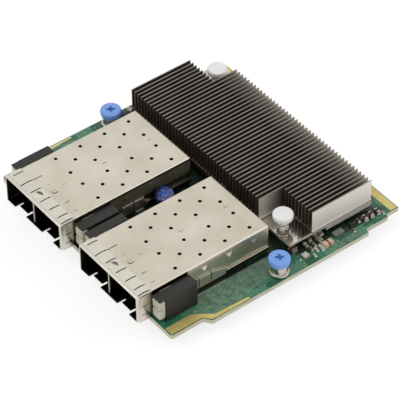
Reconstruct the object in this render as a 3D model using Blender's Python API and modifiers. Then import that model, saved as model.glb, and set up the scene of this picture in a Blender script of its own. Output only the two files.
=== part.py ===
# Mezzanine network card: four pluggable-module ports in two double cages, one finned heatsink.
# Metres, +Z up. The ports face -Y and +X is to the right of someone who looks into them.
# The origin is the middle of the footprint, at the plane that the card rests on.
import math

import bmesh
import bpy
from mathutils import Matrix, Vector

MM = 0.001

# Board: its width and depth follow from the cages and the heatsink that it carries
BOARD_THICKNESS = 1.57 * MM
SIDE_MARGIN = 12.5 * MM              # from the outer side of a cage to the board's side
REAR_MARGIN = 7.2 * MM               # from the heatsink to the board's rear edge
UNDERSIDE_HEIGHT = 4.0 * MM          # from the resting plane up to the board's lower face
FRONT_STEP = 2.4 * MM                # how far each side of the front stretch is set in
FRONT_STEP_DEPTH = 11.7 * MM         # length of that set-in stretch
FRONT_STEP_RUN = 1.8 * MM            # length of the slope that ends it
FRONT_CORNER_RADIUS = 1.0 * MM
REAR_STEP = 1.6 * MM                 # first step in, towards the rear edge
REAR_STEP_DEPTH = 14.3 * MM          # its distance from the rear edge
CORNER_STEP = 1.2 * MM               # second step in, at the rear corner
CORNER_STEP_DEPTH = 5.3 * MM
STEP_SLOPE = 0.3 * MM

# Fits
SEAT_GAP = 0.15 * MM                 # between a soldered or seated piece and what carries it
SHEET_GAP = 0.15 * MM                # between two folded sheets that lie on each other
PIN_GAP = 0.2 * MM                   # round a pin in its hole
RUN_GAP = 0.2 * MM                   # round a piece that turns

# Port cages
PORT_PITCH = 14.25 * MM
CAGE_TRIM = 0.1 * MM                 # how much narrower a double cage is than two ports
CAGE_LENGTH = 49.4 * MM
CAGE_TOP = 10.5 * MM                 # above the board
CAGE_STANDOFF = 0.7 * MM             # from the board to the underside of the cage floor
CAGE_BETWEEN = 10.2 * MM             # between the two cages
CAGE_OVERHANG = 4.8 * MM             # from the port faces to the board's front edge
SHEET = 0.3 * MM
FOLD_RADIUS = 0.5 * MM
FOLD_SEGMENTS = 2

# Ventilation holes in the cage top
VENT_DIAMETER = 1.4 * MM
VENT_SIDES = 8
VENT_FIRST = 16.5 * MM               # first row, from the port faces
VENT_PITCH = 9.3 * MM
VENT_COLUMN_OFFSET = 3.95 * MM       # outer columns, from the middle of the port

# Marks and windows in the cage sheets
TAB_LENGTH = 1.5 * MM
TAB_BACKS = (22.1 * MM, 5.1 * MM)    # from the rear of the cage to each tab
LANCE_WIDTH = 1.3 * MM
LANCE_LENGTH = 1.5 * MM
LANCE_PLACE = 7.8 * MM
SIDE_LANCE_FIRST = 24.9 * MM
SIDE_LANCE_PITCH = 9.3 * MM
SIDE_LANCE_LENGTH = 2.4 * MM
SIDE_LANCE_HEIGHT = 1.7 * MM
SIDE_LANCE_TOP = 2.0 * MM            # below the cage top

# Cage floor
FLAP_HEIGHT = 4.1 * MM               # above the floor's underside
FLAP_START = 21.9 * MM
FLAP_RUN = 6.4 * MM                  # from there to where the high flap begins to fall
FLAP_FALL = 4.9 * MM                 # length of the falling stretch
FLAP_END_HEIGHT = 2.4 * MM
LOW_FLAP_HEIGHT = 1.7 * MM
FLAP_SLITS = (0.7 * MM, 5.3 * MM)    # from the start of the flap
FLAP_SLIT = 0.5 * MM
LATCH_HALF_WIDTH = 3.05 * MM
LATCH_LENGTH = 9.0 * MM
LATCH_SLIT = 0.9 * MM
LATCH_SET_BACK = 1.2 * MM
CATCH_SIDE = 3.0 * MM
CATCH_PLACE = 4.6 * MM
CAGE_PIN_FIRST = 8.0 * MM
CAGE_PIN_LAST = 7.4 * MM             # from the rear of the cage
CAGE_PINS = 3                        # along each side
CAGE_PIN_WIDTH = 0.6 * MM
CAGE_PIN_SHOULDER = 1.4 * MM
CAGE_PIN_INSET = 0.6 * MM            # from the side of the cage to the pin's middle
CAGE_PIN_REACH = 0.9 * MM            # past the board's lower face

# Divider between two ports
DIVIDER_WIDTH = 0.9 * MM
DIVIDER_SHEET = 0.2 * MM
DIVIDER_START = 0.4 * MM
DIVIDER_BACK = 3.0 * MM              # from its end to the rear of the cage

# Spring collar round the port faces
COLLAR_DEPTH = 4.9 * MM
COLLAR_SHEET = 0.16 * MM
COLLAR_BULGE = 0.14 * MM
COLLAR_STEPS = 3
FINGER_PITCH = 4.7 * MM
FINGER_SHIFT = -0.5 * MM             # of the slits' middle from the middle of the cage
FINGER_SIDE_SLITS = 2
FINGER_SIDE_PITCH = 3.5 * MM
FINGER_SLIT = 0.28 * MM
FINGER_ROOT = 1.5 * MM               # solid band in front of the slits
COLLAR_WINDOW = 2.9 * MM             # depth of the opening below each latch
COLLAR_BACK_BAND = 0.7 * MM          # solid band behind the slits of the underside

# Edge connector inside each port
EDGE_CONNECTOR_WIDTH = 12.2 * MM
EDGE_CONNECTOR_DEPTH = 8.6 * MM
EDGE_CONNECTOR_HEIGHT = 6.0 * MM
EDGE_CONNECTOR_BACK = 11.0 * MM      # from its front face to the rear of the cage
CARD_SLOT_WIDTH = 9.6 * MM
CARD_SLOT_HEIGHT = 1.4 * MM
CARD_SLOT_DEPTH = 4.6 * MM
CARD_SLOT_LEVEL = 3.4 * MM           # above the board
EDGE_CHAMFER = 0.5 * MM
EDGE_CONNECTOR_ROOM = 0.3 * MM       # round it, in the cage floor

# Light pipes beside the cages
LIGHT_GAP = 0.5 * MM                 # between the cage's side and the holder
HOLDER_WIDTH = 4.1 * MM
HOLDER_START = 7.4 * MM
HOLDER_LENGTH = 11.5 * MM
HOLDER_TOP = 9.3 * MM
HOLDER_WALL = 0.55 * MM
LENS_START = 4.9 * MM
LENS_BOTTOM = 1.4 * MM
LENS_TOP = 8.6 * MM
LENS_GROOVE = 0.4 * MM
LENS_ROUND = 0.9 * MM
PIPE_THICKNESS = 1.5 * MM
PIPE_LEVEL = 5.9 * MM
PIPE_END = 16.2 * MM
LED_HEIGHT = 0.8 * MM
LED_LENGTH = 1.8 * MM

# Heatsink
FIN_PITCH = 1.61 * MM
FIN_THICKNESS = 0.35 * MM
FIN_TOP = 11.9 * MM                  # above the board
FIN_FOOT = 4.1 * MM
FOOT_LEDGE = 0.25 * MM               # how far the base stands out past the outer fins
HEATSINK_BASE = 1.9 * MM             # thickness
HEATSINK_CLEARANCE = 3.9 * MM        # from the rear of the cages to its front face
HEATSINK_DEPTH = 32.1 * MM
HEATSINK_LEFT_MARGIN = 4.95 * MM     # from the board's side
HEATSINK_RIGHT_MARGIN = 7.2 * MM
NOTCH_WIDTH = 14.1 * MM
NOTCH_DEPTH = 8.8 * MM
NOTCH_MILL = 0.25 * MM               # how deep the notch is milled into the base
LIP_WIDTH = 1.6 * MM                 # the rib along each side of the base's underside
LIP_HEIGHT = 0.9 * MM
RELIEF_DEPTH = 14.3 * MM             # underside milled thin at the notched corners, along Y
RELIEF_LEAVES = 1.0 * MM             # metal left there below the fins' feet

# Controller under the heatsink
CONTROLLER_SIDE = 25.0 * MM
CONTROLLER_BEVEL = 0.3 * MM
PAD_SIDE = 21.0 * MM
PAD_THICKNESS = 0.35 * MM

# Push pins that hold the heatsink
PUSH_PIN_INSET = 3.1 * MM            # from the front or rear face of the heatsink
CAP_DIAMETER = 6.5 * MM
CAP_HEIGHT = 1.4 * MM
CAP_TOP = 10.2 * MM                  # above the board
CAP_ROUND = 0.5 * MM
STEM_DIAMETER = 2.4 * MM
BARB_DIAMETER = 3.8 * MM
BARB_TIP_DIAMETER = 1.2 * MM
BARB_LENGTH = 2.6 * MM
BARB_SHOULDER = 0.8 * MM
BARB_SLOT = 0.6 * MM
PUSH_SPRING_DIAMETER = 4.0 * MM
PUSH_SPRING_WIRE = 0.7 * MM
PUSH_SPRING_TURNS = 3

# Captive thumbscrews
THUMB_INSET = 3.5 * MM               # the outer two, from the board's sides
THUMB_BACK = 3.2 * MM                # and from the rear of the cages
THUMB_MIDDLE_SHIFT = -1.2 * MM       # the middle one, from the board's middle
THUMB_MIDDLE_START = 16.9 * MM       # and from the rear of the light-pipe holders
KNOB_TOP = 6.4 * MM                  # above the board
KNOB_HEIGHT = 2.6 * MM
KNOB_DIAMETER = 6.9 * MM
KNOB_FOOT_DIAMETER = 6.0 * MM
KNOB_ROUND = 0.35 * MM
RECESS_SPAN = 2.8 * MM
RECESS_WIDTH = 0.85 * MM
RECESS_DEPTH = 0.9 * MM
RECESS_TAPER = 0.55
RECESS_TURN = math.radians(58.0)     # how the crosses stand when the screws are at rest
SCREW_PLUG_DIAMETER = 3.4 * MM
SCREW_PLUG_HEIGHT = 1.1 * MM
SCREW_NECK_DIAMETER = 2.1 * MM
THREAD_DIAMETER = 2.9 * MM
THREAD_CHAMFER = 0.4 * MM
THREAD_REACH = 2.7 * MM              # past the board's lower face
FERRULE_FLANGE_DIAMETER = 6.5 * MM
FERRULE_FLANGE_HEIGHT = 1.0 * MM
FERRULE_DIAMETER = 5.4 * MM
FERRULE_WALL = 0.5 * MM
FERRULE_FLOOR = 0.6 * MM
FERRULE_SHANK_DIAMETER = 4.2 * MM
KNOB_SPRING_WIRE = 0.35 * MM
KNOB_SPRING_TURNS = 3

# Board-to-board connector under the rear of the board
STACK_LENGTH = 40.0 * MM
STACK_WIDTH = 6.4 * MM
STACK_INSET = 12.6 * MM              # its middle, from the board's rear edge
STACK_SLOT_LENGTH = 36.6 * MM
STACK_SLOT_WIDTH = 2.8 * MM
STACK_SLOT_DEPTH = 2.6 * MM
STACK_TAIL_PITCH = 3.05 * MM
STACK_TAIL_WIDTH = 0.8 * MM
STACK_TAIL_REACH = 0.9 * MM
STACK_TAIL_HEIGHT = 0.4 * MM

# Small soldered parts: name, side of the board, inset from that side, Y from the heatsink's front
# face, length along X, width along Y, height
SMALL_PARTS = (
    ("power_chip", 1, 5.2 * MM, 17.2 * MM, 2.4 * MM, 3.6 * MM, 1.1 * MM),
    ("driver_chip", 1, 3.9 * MM, 3.3 * MM, 2.4 * MM, 1.9 * MM, 0.9 * MM),
    ("inductor", 1, 8.4 * MM, 2.1 * MM, 2.2 * MM, 1.8 * MM, 1.4 * MM),
    ("resistor", 1, 4.0 * MM, 7.6 * MM, 1.6 * MM, 0.9 * MM, 0.6 * MM),
    ("capacitor_1", 1, 3.6 * MM, 11.9 * MM, 1.9 * MM, 3.2 * MM, 1.2 * MM),
    ("capacitor_2", 1, 8.7 * MM, 8.5 * MM, 1.7 * MM, 1.3 * MM, 1.1 * MM),
    ("capacitor_3", 1, 8.7 * MM, 11.0 * MM, 1.7 * MM, 1.3 * MM, 1.1 * MM),
    ("capacitor_4", 1, 8.7 * MM, 12.9 * MM, 1.7 * MM, 1.3 * MM, 1.1 * MM),
    ("capacitor_5", 1, 5.1 * MM, 27.8 * MM, 1.9 * MM, 1.2 * MM, 1.2 * MM),
    ("capacitor_6", 1, 5.1 * MM, 30.2 * MM, 1.9 * MM, 1.2 * MM, 1.2 * MM),
    ("left_capacitor", -1, 2.2 * MM, 1.1 * MM, 2.0 * MM, 1.3 * MM, 1.2 * MM),
    ("left_chip", -1, 2.6 * MM, -1.6 * MM, 2.4 * MM, 2.0 * MM, 1.0 * MM),
)
# The same for the space between the cages: name, X from the board's middle, Y from the rear of the
# light-pipe holders, then the sizes
GAP_PARTS = (
    ("gap_inductor", -2.4 * MM, 9.7 * MM, 3.2 * MM, 2.8 * MM, 1.8 * MM),
    ("gap_capacitor", 1.6 * MM, 7.3 * MM, 1.3 * MM, 2.0 * MM, 1.2 * MM),
)
SMALL_BEVEL = 0.15 * MM

ROUND_STEPS = 16
SMALL_ROUND_STEPS = 12
CORNER_STEPS = 3
EDGE_STEPS = 2
COIL_STEPS = 8                       # points in one turn of a spring
PAST = 1.0 * MM                      # how far a cutter runs past what it cuts
MERGE = 0.001 * MM
FACING = 0.5                         # a face whose normal has this much of a direction looks that way

# Sizes that follow from the ones above
CAGE_WIDTH = 2 * PORT_PITCH - CAGE_TRIM
CAGE_HALF = CAGE_WIDTH / 2
BOARD_WIDTH = CAGE_BETWEEN + 2 * CAGE_WIDTH + 2 * SIDE_MARGIN
HEATSINK_START = CAGE_LENGTH + HEATSINK_CLEARANCE
HEATSINK_BACK = HEATSINK_START + HEATSINK_DEPTH
BOARD_BACK = HEATSINK_BACK + REAR_MARGIN
BOARD_DEPTH = BOARD_BACK - CAGE_OVERHANG
OUTER_FINS = FIN_THICKNESS + 2 * FOOT_LEDGE
FIN_ROOM = BOARD_WIDTH - HEATSINK_LEFT_MARGIN - HEATSINK_RIGHT_MARGIN - OUTER_FINS
FIN_COUNT = int(FIN_ROOM / FIN_PITCH) + 1
HEATSINK_WIDTH = (FIN_COUNT - 1) * FIN_PITCH + OUTER_FINS
HEATSINK_LEFT = HEATSINK_LEFT_MARGIN - BOARD_WIDTH / 2
HEATSINK_RIGHT = HEATSINK_LEFT + HEATSINK_WIDTH
HEATSINK_MIDDLE = HEATSINK_START + HEATSINK_DEPTH / 2
HEATSINK_UNDER = FIN_FOOT - HEATSINK_BASE
HOLDER_BACK = HOLDER_START + HOLDER_LENGTH
STEM_HOLE = STEM_DIAMETER / 2 + PIN_GAP
SHANK_HOLE = FERRULE_SHANK_DIAMETER / 2 + PIN_GAP

# Planes and places that follow from them
BOARD_TOP = UNDERSIDE_HEIGHT + BOARD_THICKNESS
PORT_FACE = -BOARD_BACK / 2
CAGE_MIDDLE = CAGE_BETWEEN / 2 + CAGE_HALF
CAGE_PLACES = {"right": CAGE_MIDDLE, "left": -CAGE_MIDDLE}
PORT_OFFSETS = (-PORT_PITCH / 2, PORT_PITCH / 2)
FLOOR_UNDER = BOARD_TOP + CAGE_STANDOFF
FLOOR_OVER = FLOOR_UNDER + SHEET
BASE_HALF = CAGE_HALF + SHEET_GAP + SHEET
FRONT_FLOOR_HALF = CAGE_HALF - SHEET_GAP
COLLAR_HALF = CAGE_HALF + SHEET_GAP + COLLAR_SHEET
SHELL_FOOT = FLOOR_OVER + SHEET_GAP
EDGE_CONNECTOR_START = CAGE_LENGTH - EDGE_CONNECTOR_BACK
THUMB_PLACES = {
    "right": (BOARD_WIDTH / 2 - THUMB_INSET, CAGE_LENGTH - THUMB_BACK),
    "middle": (THUMB_MIDDLE_SHIFT, HOLDER_BACK + THUMB_MIDDLE_START),
    "left": (THUMB_INSET - BOARD_WIDTH / 2, CAGE_LENGTH - THUMB_BACK),
}
PUSH_PIN_PLACES = {
    "front": (HEATSINK_RIGHT - NOTCH_WIDTH / 2, HEATSINK_START + PUSH_PIN_INSET),
    "rear": (HEATSINK_LEFT + NOTCH_WIDTH / 2, HEATSINK_BACK - PUSH_PIN_INSET),
}


def at(x, y, z):
    """World place from X at the board's middle, Y at the port faces and Z at the board's top."""
    return Vector((x, PORT_FACE + y, BOARD_TOP + z))


def clear_scene():
    for thing in list(bpy.data.objects):
        bpy.data.objects.remove(thing)


def new_collection(name):
    made = bpy.data.collections.new(name)
    bpy.context.scene.collection.children.link(made)
    return made


def material(name, colour, roughness, metallic):
    made = bpy.data.materials.new(name)
    made.use_nodes = True
    shader = made.node_tree.nodes["Principled BSDF"]
    shader.inputs["Base Color"].default_value = (*colour, 1.0)
    shader.inputs["Roughness"].default_value = roughness
    shader.inputs["Metallic"].default_value = metallic
    made.diffuse_color = (*colour, 1.0)
    return made


def add(name, mesh, finish):
    """A part from a mesh, in the collection of parts."""
    thing = bpy.data.objects.new(name, mesh)
    PARTS.objects.link(thing)
    mesh.materials.clear()
    mesh.materials.append(finish)
    return thing


def helper(name, mesh):
    """A shape that only cuts or joins."""
    thing = bpy.data.objects.new(name, mesh)
    CUTTERS.objects.link(thing)
    thing.hide_render = True
    thing.display_type = "WIRE"
    return thing


def mesh_from(work, name):
    mesh = bpy.data.meshes.new(name)
    bmesh.ops.recalc_face_normals(work, faces=work.faces)
    work.to_mesh(mesh)
    work.free()
    return mesh


def add_box(work, low, high):
    """Adds a box between two corners to a bmesh and returns its vertices."""
    low = Vector(low)
    high = Vector(high)
    side = high - low
    place = Matrix.Translation((low + high) / 2) @ Matrix.Diagonal((*side, 1.0))
    return bmesh.ops.create_cube(work, size=1.0, matrix=place)["verts"]


def add_cylinder(work, centre, radius, height, sides):
    return bmesh.ops.create_cone(
        work,
        cap_ends=True,
        segments=sides,
        radius1=radius,
        radius2=radius,
        depth=height,
        matrix=Matrix.Translation(centre),
    )["verts"]


def boxes(name, corners):
    """One mesh that holds a box for each pair of corners."""
    work = bmesh.new()
    for low, high in corners:
        add_box(work, low, high)
    return mesh_from(work, name)


def bevelled_box(name, low, high, width, segments=1):
    work = bmesh.new()
    add_box(work, low, high)
    bmesh.ops.bevel(
        work, geom=work.edges[:], offset=width, segments=segments, profile=0.5, affect="EDGES"
    )
    return mesh_from(work, name)


def add_prism(work, outline, run):
    """Adds a flat outline of 3D points, drawn out along run, to a bmesh."""
    face = work.faces.new([work.verts.new(point) for point in outline])
    drawn = bmesh.ops.extrude_face_region(work, geom=[face])["geom"]
    moved = [item for item in drawn if isinstance(item, bmesh.types.BMVert)]
    bmesh.ops.translate(work, verts=moved, vec=Vector(run))


def prisms(name, outlines, run):
    work = bmesh.new()
    for outline in outlines:
        add_prism(work, outline, run)
    return mesh_from(work, name)


def boolean(thing, tool, operation):
    change = thing.modifiers.new(tool.name, "BOOLEAN")
    change.operation = operation
    change.object = tool
    change.solver = "EXACT"


def cut(thing, tool):
    boolean(thing, tool, "DIFFERENCE")


def join(thing, tool):
    boolean(thing, tool, "UNION")


def plate(name, loops, height):
    """A flat plate from closed outlines in X and Y. The first is its edge, the rest are holes."""
    curve = bpy.data.curves.new(name, "CURVE")
    curve.dimensions = "2D"
    curve.fill_mode = "BOTH"
    curve.extrude = height / 2
    for loop in loops:
        spline = curve.splines.new("POLY")
        spline.points.add(len(loop) - 1)
        for point, place in zip(spline.points, loop):
            point.co = (place[0], place[1], 0.0, 1.0)
        spline.use_cyclic_u = True
    drawing = bpy.data.objects.new(name, curve)
    CUTTERS.objects.link(drawing)
    graph = bpy.context.evaluated_depsgraph_get()
    mesh = bpy.data.meshes.new_from_object(drawing.evaluated_get(graph))
    bpy.data.objects.remove(drawing)
    work = bmesh.new()
    work.from_mesh(mesh)
    bmesh.ops.remove_doubles(work, verts=work.verts, dist=MERGE)
    bmesh.ops.recalc_face_normals(work, faces=work.faces)
    work.to_mesh(mesh)
    work.free()
    return mesh


def turned(name, profile, place, finish, steps, closed=False):
    """A solid turned about Z. The profile is (radius, height) pairs, down its outer side."""
    work = bmesh.new()
    points = [work.verts.new((radius, 0.0, height)) for radius, height in profile]
    for first, second in zip(points, points[1:]):
        work.edges.new((first, second))
    if closed:
        work.edges.new((points[-1], points[0]))
    mesh = bpy.data.meshes.new(name)
    work.to_mesh(mesh)
    work.free()
    thing = add(name, mesh, finish)
    thing.location = place
    spin = thing.modifiers.new("turn", "SCREW")
    spin.axis = "Z"
    spin.steps = steps
    spin.render_steps = steps
    spin.use_merge_vertices = True
    spin.merge_threshold = MERGE
    spin.use_smooth_shade = True
    return thing


def coil(name, radius, wire, turns, height, place, finish):
    """A compression spring: a helix of the given wire."""
    count = turns * COIL_STEPS
    curve = bpy.data.curves.new(name, "CURVE")
    curve.dimensions = "3D"
    curve.bevel_depth = wire / 2
    curve.bevel_resolution = 0
    curve.use_fill_caps = True
    spline = curve.splines.new("POLY")
    spline.points.add(count)
    climb = height - wire
    for index, point in enumerate(spline.points):
        angle = 2 * math.pi * index / COIL_STEPS
        share = index / count
        point.co = (
            radius * math.cos(angle),
            radius * math.sin(angle),
            wire / 2 + climb * share,
            1.0,
        )
    curve.materials.append(finish)
    thing = bpy.data.objects.new(name, curve)
    PARTS.objects.link(thing)
    thing.location = place
    return thing


def circle(centre, radius, sides):
    """Points of a circle in X and Y."""
    turn = 2 * math.pi / sides
    return [
        (centre[0] + radius * math.cos(turn * i), centre[1] + radius * math.sin(turn * i))
        for i in range(sides)
    ]


def rectangle(centre, width, depth):
    x, y = centre
    return [
        (x - width / 2, y - depth / 2),
        (x + width / 2, y - depth / 2),
        (x + width / 2, y + depth / 2),
        (x - width / 2, y + depth / 2),
    ]


def edge_round(radius, top, size):
    """Profile points of a rounded upper edge, from the flat top outwards and down."""
    turns = [math.pi / 2 * step / EDGE_STEPS for step in range(EDGE_STEPS + 1)]
    return [
        (radius - size * (1 - math.sin(turn)), top - size * (1 - math.cos(turn))) for turn in turns
    ]


def cage_pin_places():
    """(side, X, Y) of every cage pin, from the board's middle and the port faces."""
    reach = CAGE_HALF - CAGE_PIN_INSET
    pitch = (CAGE_LENGTH - CAGE_PIN_LAST - CAGE_PIN_FIRST) / (CAGE_PINS - 1)
    return [
        (side, middle + sign * reach, CAGE_PIN_FIRST + index * pitch)
        for side, middle in CAGE_PLACES.items()
        for sign in (-1, 1)
        for index in range(CAGE_PINS)
    ]


def board_half_outline():
    """The right-hand edge of the board from front to rear, as (X, Y from the port faces)."""
    half = BOARD_WIDTH / 2
    front = CAGE_OVERHANG
    back = BOARD_BACK
    inner = half - FRONT_STEP
    turns = [math.pi / 2 * step / CORNER_STEPS for step in range(CORNER_STEPS + 1)]
    corner = [
        (
            inner - FRONT_CORNER_RADIUS * (1 - math.sin(turn)),
            front + FRONT_CORNER_RADIUS * (1 - math.cos(turn)),
        )
        for turn in turns
    ]
    rest = [
        (inner, front + FRONT_STEP_DEPTH),
        (half, front + FRONT_STEP_DEPTH + FRONT_STEP_RUN),
        (half, back - REAR_STEP_DEPTH),
        (half - REAR_STEP, back - REAR_STEP_DEPTH + STEP_SLOPE),
        (half - REAR_STEP, back - CORNER_STEP_DEPTH),
        (half - REAR_STEP - CORNER_STEP, back - CORNER_STEP_DEPTH + STEP_SLOPE),
        (half - REAR_STEP - CORNER_STEP, back),
    ]
    return corner + rest


def make_board():
    half = board_half_outline()
    outline = half + [(-x, y) for x, y in reversed(half)]
    holes = [circle(place, SHANK_HOLE, SMALL_ROUND_STEPS) for place in THUMB_PLACES.values()]
    holes += [circle(place, STEM_HOLE, SMALL_ROUND_STEPS) for place in PUSH_PIN_PLACES.values()]
    slot = CAGE_PIN_WIDTH + 2 * PIN_GAP
    holes += [rectangle((x, y), SHEET + 2 * PIN_GAP, slot) for _, x, y in cage_pin_places()]
    board = add("circuit_board", plate("circuit_board", [outline] + holes, BOARD_THICKNESS), BOARD)
    board.location = at(0, 0, -BOARD_THICKNESS / 2)


def make_cage_shell(side, middle):
    """Top, sides and rear wall of a double cage, folded from one sheet and pierced."""
    work = bmesh.new()
    low = at(middle - CAGE_HALF, 0, 0)
    high = at(middle + CAGE_HALF, CAGE_LENGTH, CAGE_TOP)
    low.z = SHELL_FOOT
    add_box(work, low, high)
    open_faces = [f for f in work.faces if f.normal.z < -FACING or f.normal.y < -FACING]
    bmesh.ops.delete(work, geom=open_faces, context="FACES")
    folds = [edge for edge in work.edges if len(edge.link_faces) == 2]
    bmesh.ops.bevel(
        work, geom=folds, offset=FOLD_RADIUS, segments=FOLD_SEGMENTS, profile=0.5, affect="EDGES"
    )
    shell = add(f"cage_shell_{side}", mesh_from(work, "cage_shell"), CAGE_METAL)
    wall = shell.modifiers.new("sheet", "SOLIDIFY")
    wall.thickness = SHEET
    wall.offset = -1
    wall.use_even_offset = True

    work = bmesh.new()
    rows = int((CAGE_LENGTH - VENT_FIRST) / VENT_PITCH) + 1
    for port in PORT_OFFSETS:
        for column in (-1, 0, 1):
            between = column == 0
            for row in range(rows - between):
                x = middle + port + column * VENT_COLUMN_OFFSET
                y = VENT_FIRST + (row + between / 2) * VENT_PITCH
                add_cylinder(work, at(x, y, CAGE_TOP), VENT_DIAMETER / 2, 2 * PAST, VENT_SIDES)
    half = DIVIDER_WIDTH / 2 + PIN_GAP
    run = TAB_LENGTH / 2 + PIN_GAP
    for back in TAB_BACKS:
        y = CAGE_LENGTH - back
        low = at(middle - half, y - run, CAGE_TOP - PAST)
        add_box(work, low, at(middle + half, y + run, CAGE_TOP + PAST))
    low = at(middle - LANCE_WIDTH / 2, LANCE_PLACE - LANCE_LENGTH / 2, CAGE_TOP - PAST)
    add_box(work, low, at(middle + LANCE_WIDTH / 2, LANCE_PLACE, CAGE_TOP + PAST))
    cut(shell, helper(f"cage_holes_{side}", mesh_from(work, "cage_holes")))

    reach = CAGE_HALF + PAST
    top = CAGE_TOP - SIDE_LANCE_TOP
    count = int((CAGE_LENGTH - SIDE_LANCE_FIRST - SIDE_LANCE_LENGTH) / SIDE_LANCE_PITCH) + 1
    places = [SIDE_LANCE_FIRST + index * SIDE_LANCE_PITCH for index in range(count)]
    windows = [
        (
            at(middle - reach, y - SIDE_LANCE_LENGTH / 2, top),
            at(middle - reach, y + SIDE_LANCE_LENGTH / 2, top),
            at(middle - reach, y, top - SIDE_LANCE_HEIGHT),
        )
        for y in places
    ]
    windows_mesh = prisms("side_lances", windows, (2 * reach, 0, 0))
    cut(shell, helper(f"side_lances_{side}", windows_mesh))


def make_cage_floor(side, middle):
    """Floor of a double cage: side flaps, latch tongues at the front and pins into the board."""
    work = bmesh.new()
    low = at(middle - BASE_HALF, 0, CAGE_STANDOFF)
    high = at(middle + BASE_HALF, CAGE_LENGTH - SHEET, CAGE_STANDOFF + FLAP_HEIGHT)
    add_box(work, low, high)
    open_faces = [f for f in work.faces if f.normal.z > FACING or abs(f.normal.y) > FACING]
    bmesh.ops.delete(work, geom=open_faces, context="FACES")
    folds = [edge for edge in work.edges if len(edge.link_faces) == 2]
    bmesh.ops.bevel(
        work, geom=folds, offset=FOLD_RADIUS, segments=FOLD_SEGMENTS, profile=0.5, affect="EDGES"
    )
    floor = add(f"cage_floor_{side}", mesh_from(work, "cage_floor"), CAGE_METAL)
    wall = floor.modifiers.new("sheet", "SOLIDIFY")
    wall.thickness = SHEET
    wall.offset = -1
    wall.use_even_offset = True

    reach = BASE_HALF + PAST
    above = CAGE_STANDOFF + FLAP_HEIGHT + PAST
    trims = [
        (at(middle - reach, -PAST, 0), at(middle - FRONT_FLOOR_HALF, FLAP_START, above)),
        (at(middle + FRONT_FLOOR_HALF, -PAST, 0), at(middle + reach, FLAP_START, above)),
    ]
    for slit in FLAP_SLITS:
        y = FLAP_START + slit
        low = at(middle - reach, y - FLAP_SLIT / 2, CAGE_STANDOFF + LOW_FLAP_HEIGHT / 2)
        trims.append((low, at(middle + reach, y + FLAP_SLIT / 2, above)))
    for port in PORT_OFFSETS:
        latch = middle + port
        for left in (latch - LATCH_HALF_WIDTH, latch + LATCH_HALF_WIDTH - LATCH_SLIT):
            low = at(left, -PAST, 0)
            trims.append((low, at(left + LATCH_SLIT, LATCH_LENGTH, CAGE_STANDOFF + PAST)))
        room = EDGE_CONNECTOR_WIDTH / 2 + EDGE_CONNECTOR_ROOM
        low = at(latch - room, EDGE_CONNECTOR_START - EDGE_CONNECTOR_ROOM, 0)
        back = EDGE_CONNECTOR_START + EDGE_CONNECTOR_DEPTH + EDGE_CONNECTOR_ROOM
        trims.append((low, at(latch + room, back, CAGE_STANDOFF + PAST)))
    cut(floor, helper(f"floor_trims_{side}", boxes("floor_trims", trims)))

    fronts = []
    for port in PORT_OFFSETS:
        left = middle + port - LATCH_HALF_WIDTH + LATCH_SLIT / 2
        right = middle + port + LATCH_HALF_WIDTH - LATCH_SLIT / 2
        fronts.append((at(left, -PAST, 0), at(right, LATCH_SET_BACK, CAGE_STANDOFF + PAST)))
    cut(floor, helper(f"latch_fronts_{side}", boxes("latch_fronts", fronts)))

    fall = FLAP_START + FLAP_RUN
    flap_over = [
        at(middle - reach, y, z)
        for y, z in (
            (fall, CAGE_STANDOFF + FLAP_HEIGHT),
            (fall + FLAP_FALL, CAGE_STANDOFF + FLAP_END_HEIGHT),
            (fall + FLAP_FALL, CAGE_STANDOFF + LOW_FLAP_HEIGHT),
            (CAGE_LENGTH + PAST, CAGE_STANDOFF + LOW_FLAP_HEIGHT),
            (CAGE_LENGTH + PAST, above),
            (fall, above),
        )
    ]
    flap_mesh = prisms("flap_trim", [flap_over], (2 * reach, 0, 0))
    cut(floor, helper(f"flap_trim_{side}", flap_mesh))

    catches = [
        (
            at(middle + port - CATCH_SIDE / 2, CATCH_PLACE, 0),
            at(middle + port + CATCH_SIDE / 2, CATCH_PLACE, 0),
            at(middle + port, CATCH_PLACE + CATCH_SIDE, 0),
        )
        for port in PORT_OFFSETS
    ]
    catch_mesh = prisms("catches", catches, (0, 0, CAGE_STANDOFF + PAST))
    cut(floor, helper(f"catches_{side}", catch_mesh))

    tip = -BOARD_THICKNESS - CAGE_PIN_REACH
    root = CAGE_STANDOFF + SHEET / 2
    outlines = [
        [
            at(x - SHEET / 2, y + across, up)
            for across, up in (
                (-CAGE_PIN_SHOULDER / 2, root),
                (CAGE_PIN_SHOULDER / 2, root),
                (CAGE_PIN_SHOULDER / 2, SEAT_GAP),
                (CAGE_PIN_WIDTH / 2, SEAT_GAP),
                (CAGE_PIN_WIDTH / 2, tip),
                (-CAGE_PIN_WIDTH / 2, tip),
                (-CAGE_PIN_WIDTH / 2, SEAT_GAP),
                (-CAGE_PIN_SHOULDER / 2, SEAT_GAP),
            )
        ]
        for owner, x, y in cage_pin_places()
        if owner == side
    ]
    join(floor, helper(f"floor_pins_{side}", prisms("floor_pins", outlines, (SHEET, 0, 0))))


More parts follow.
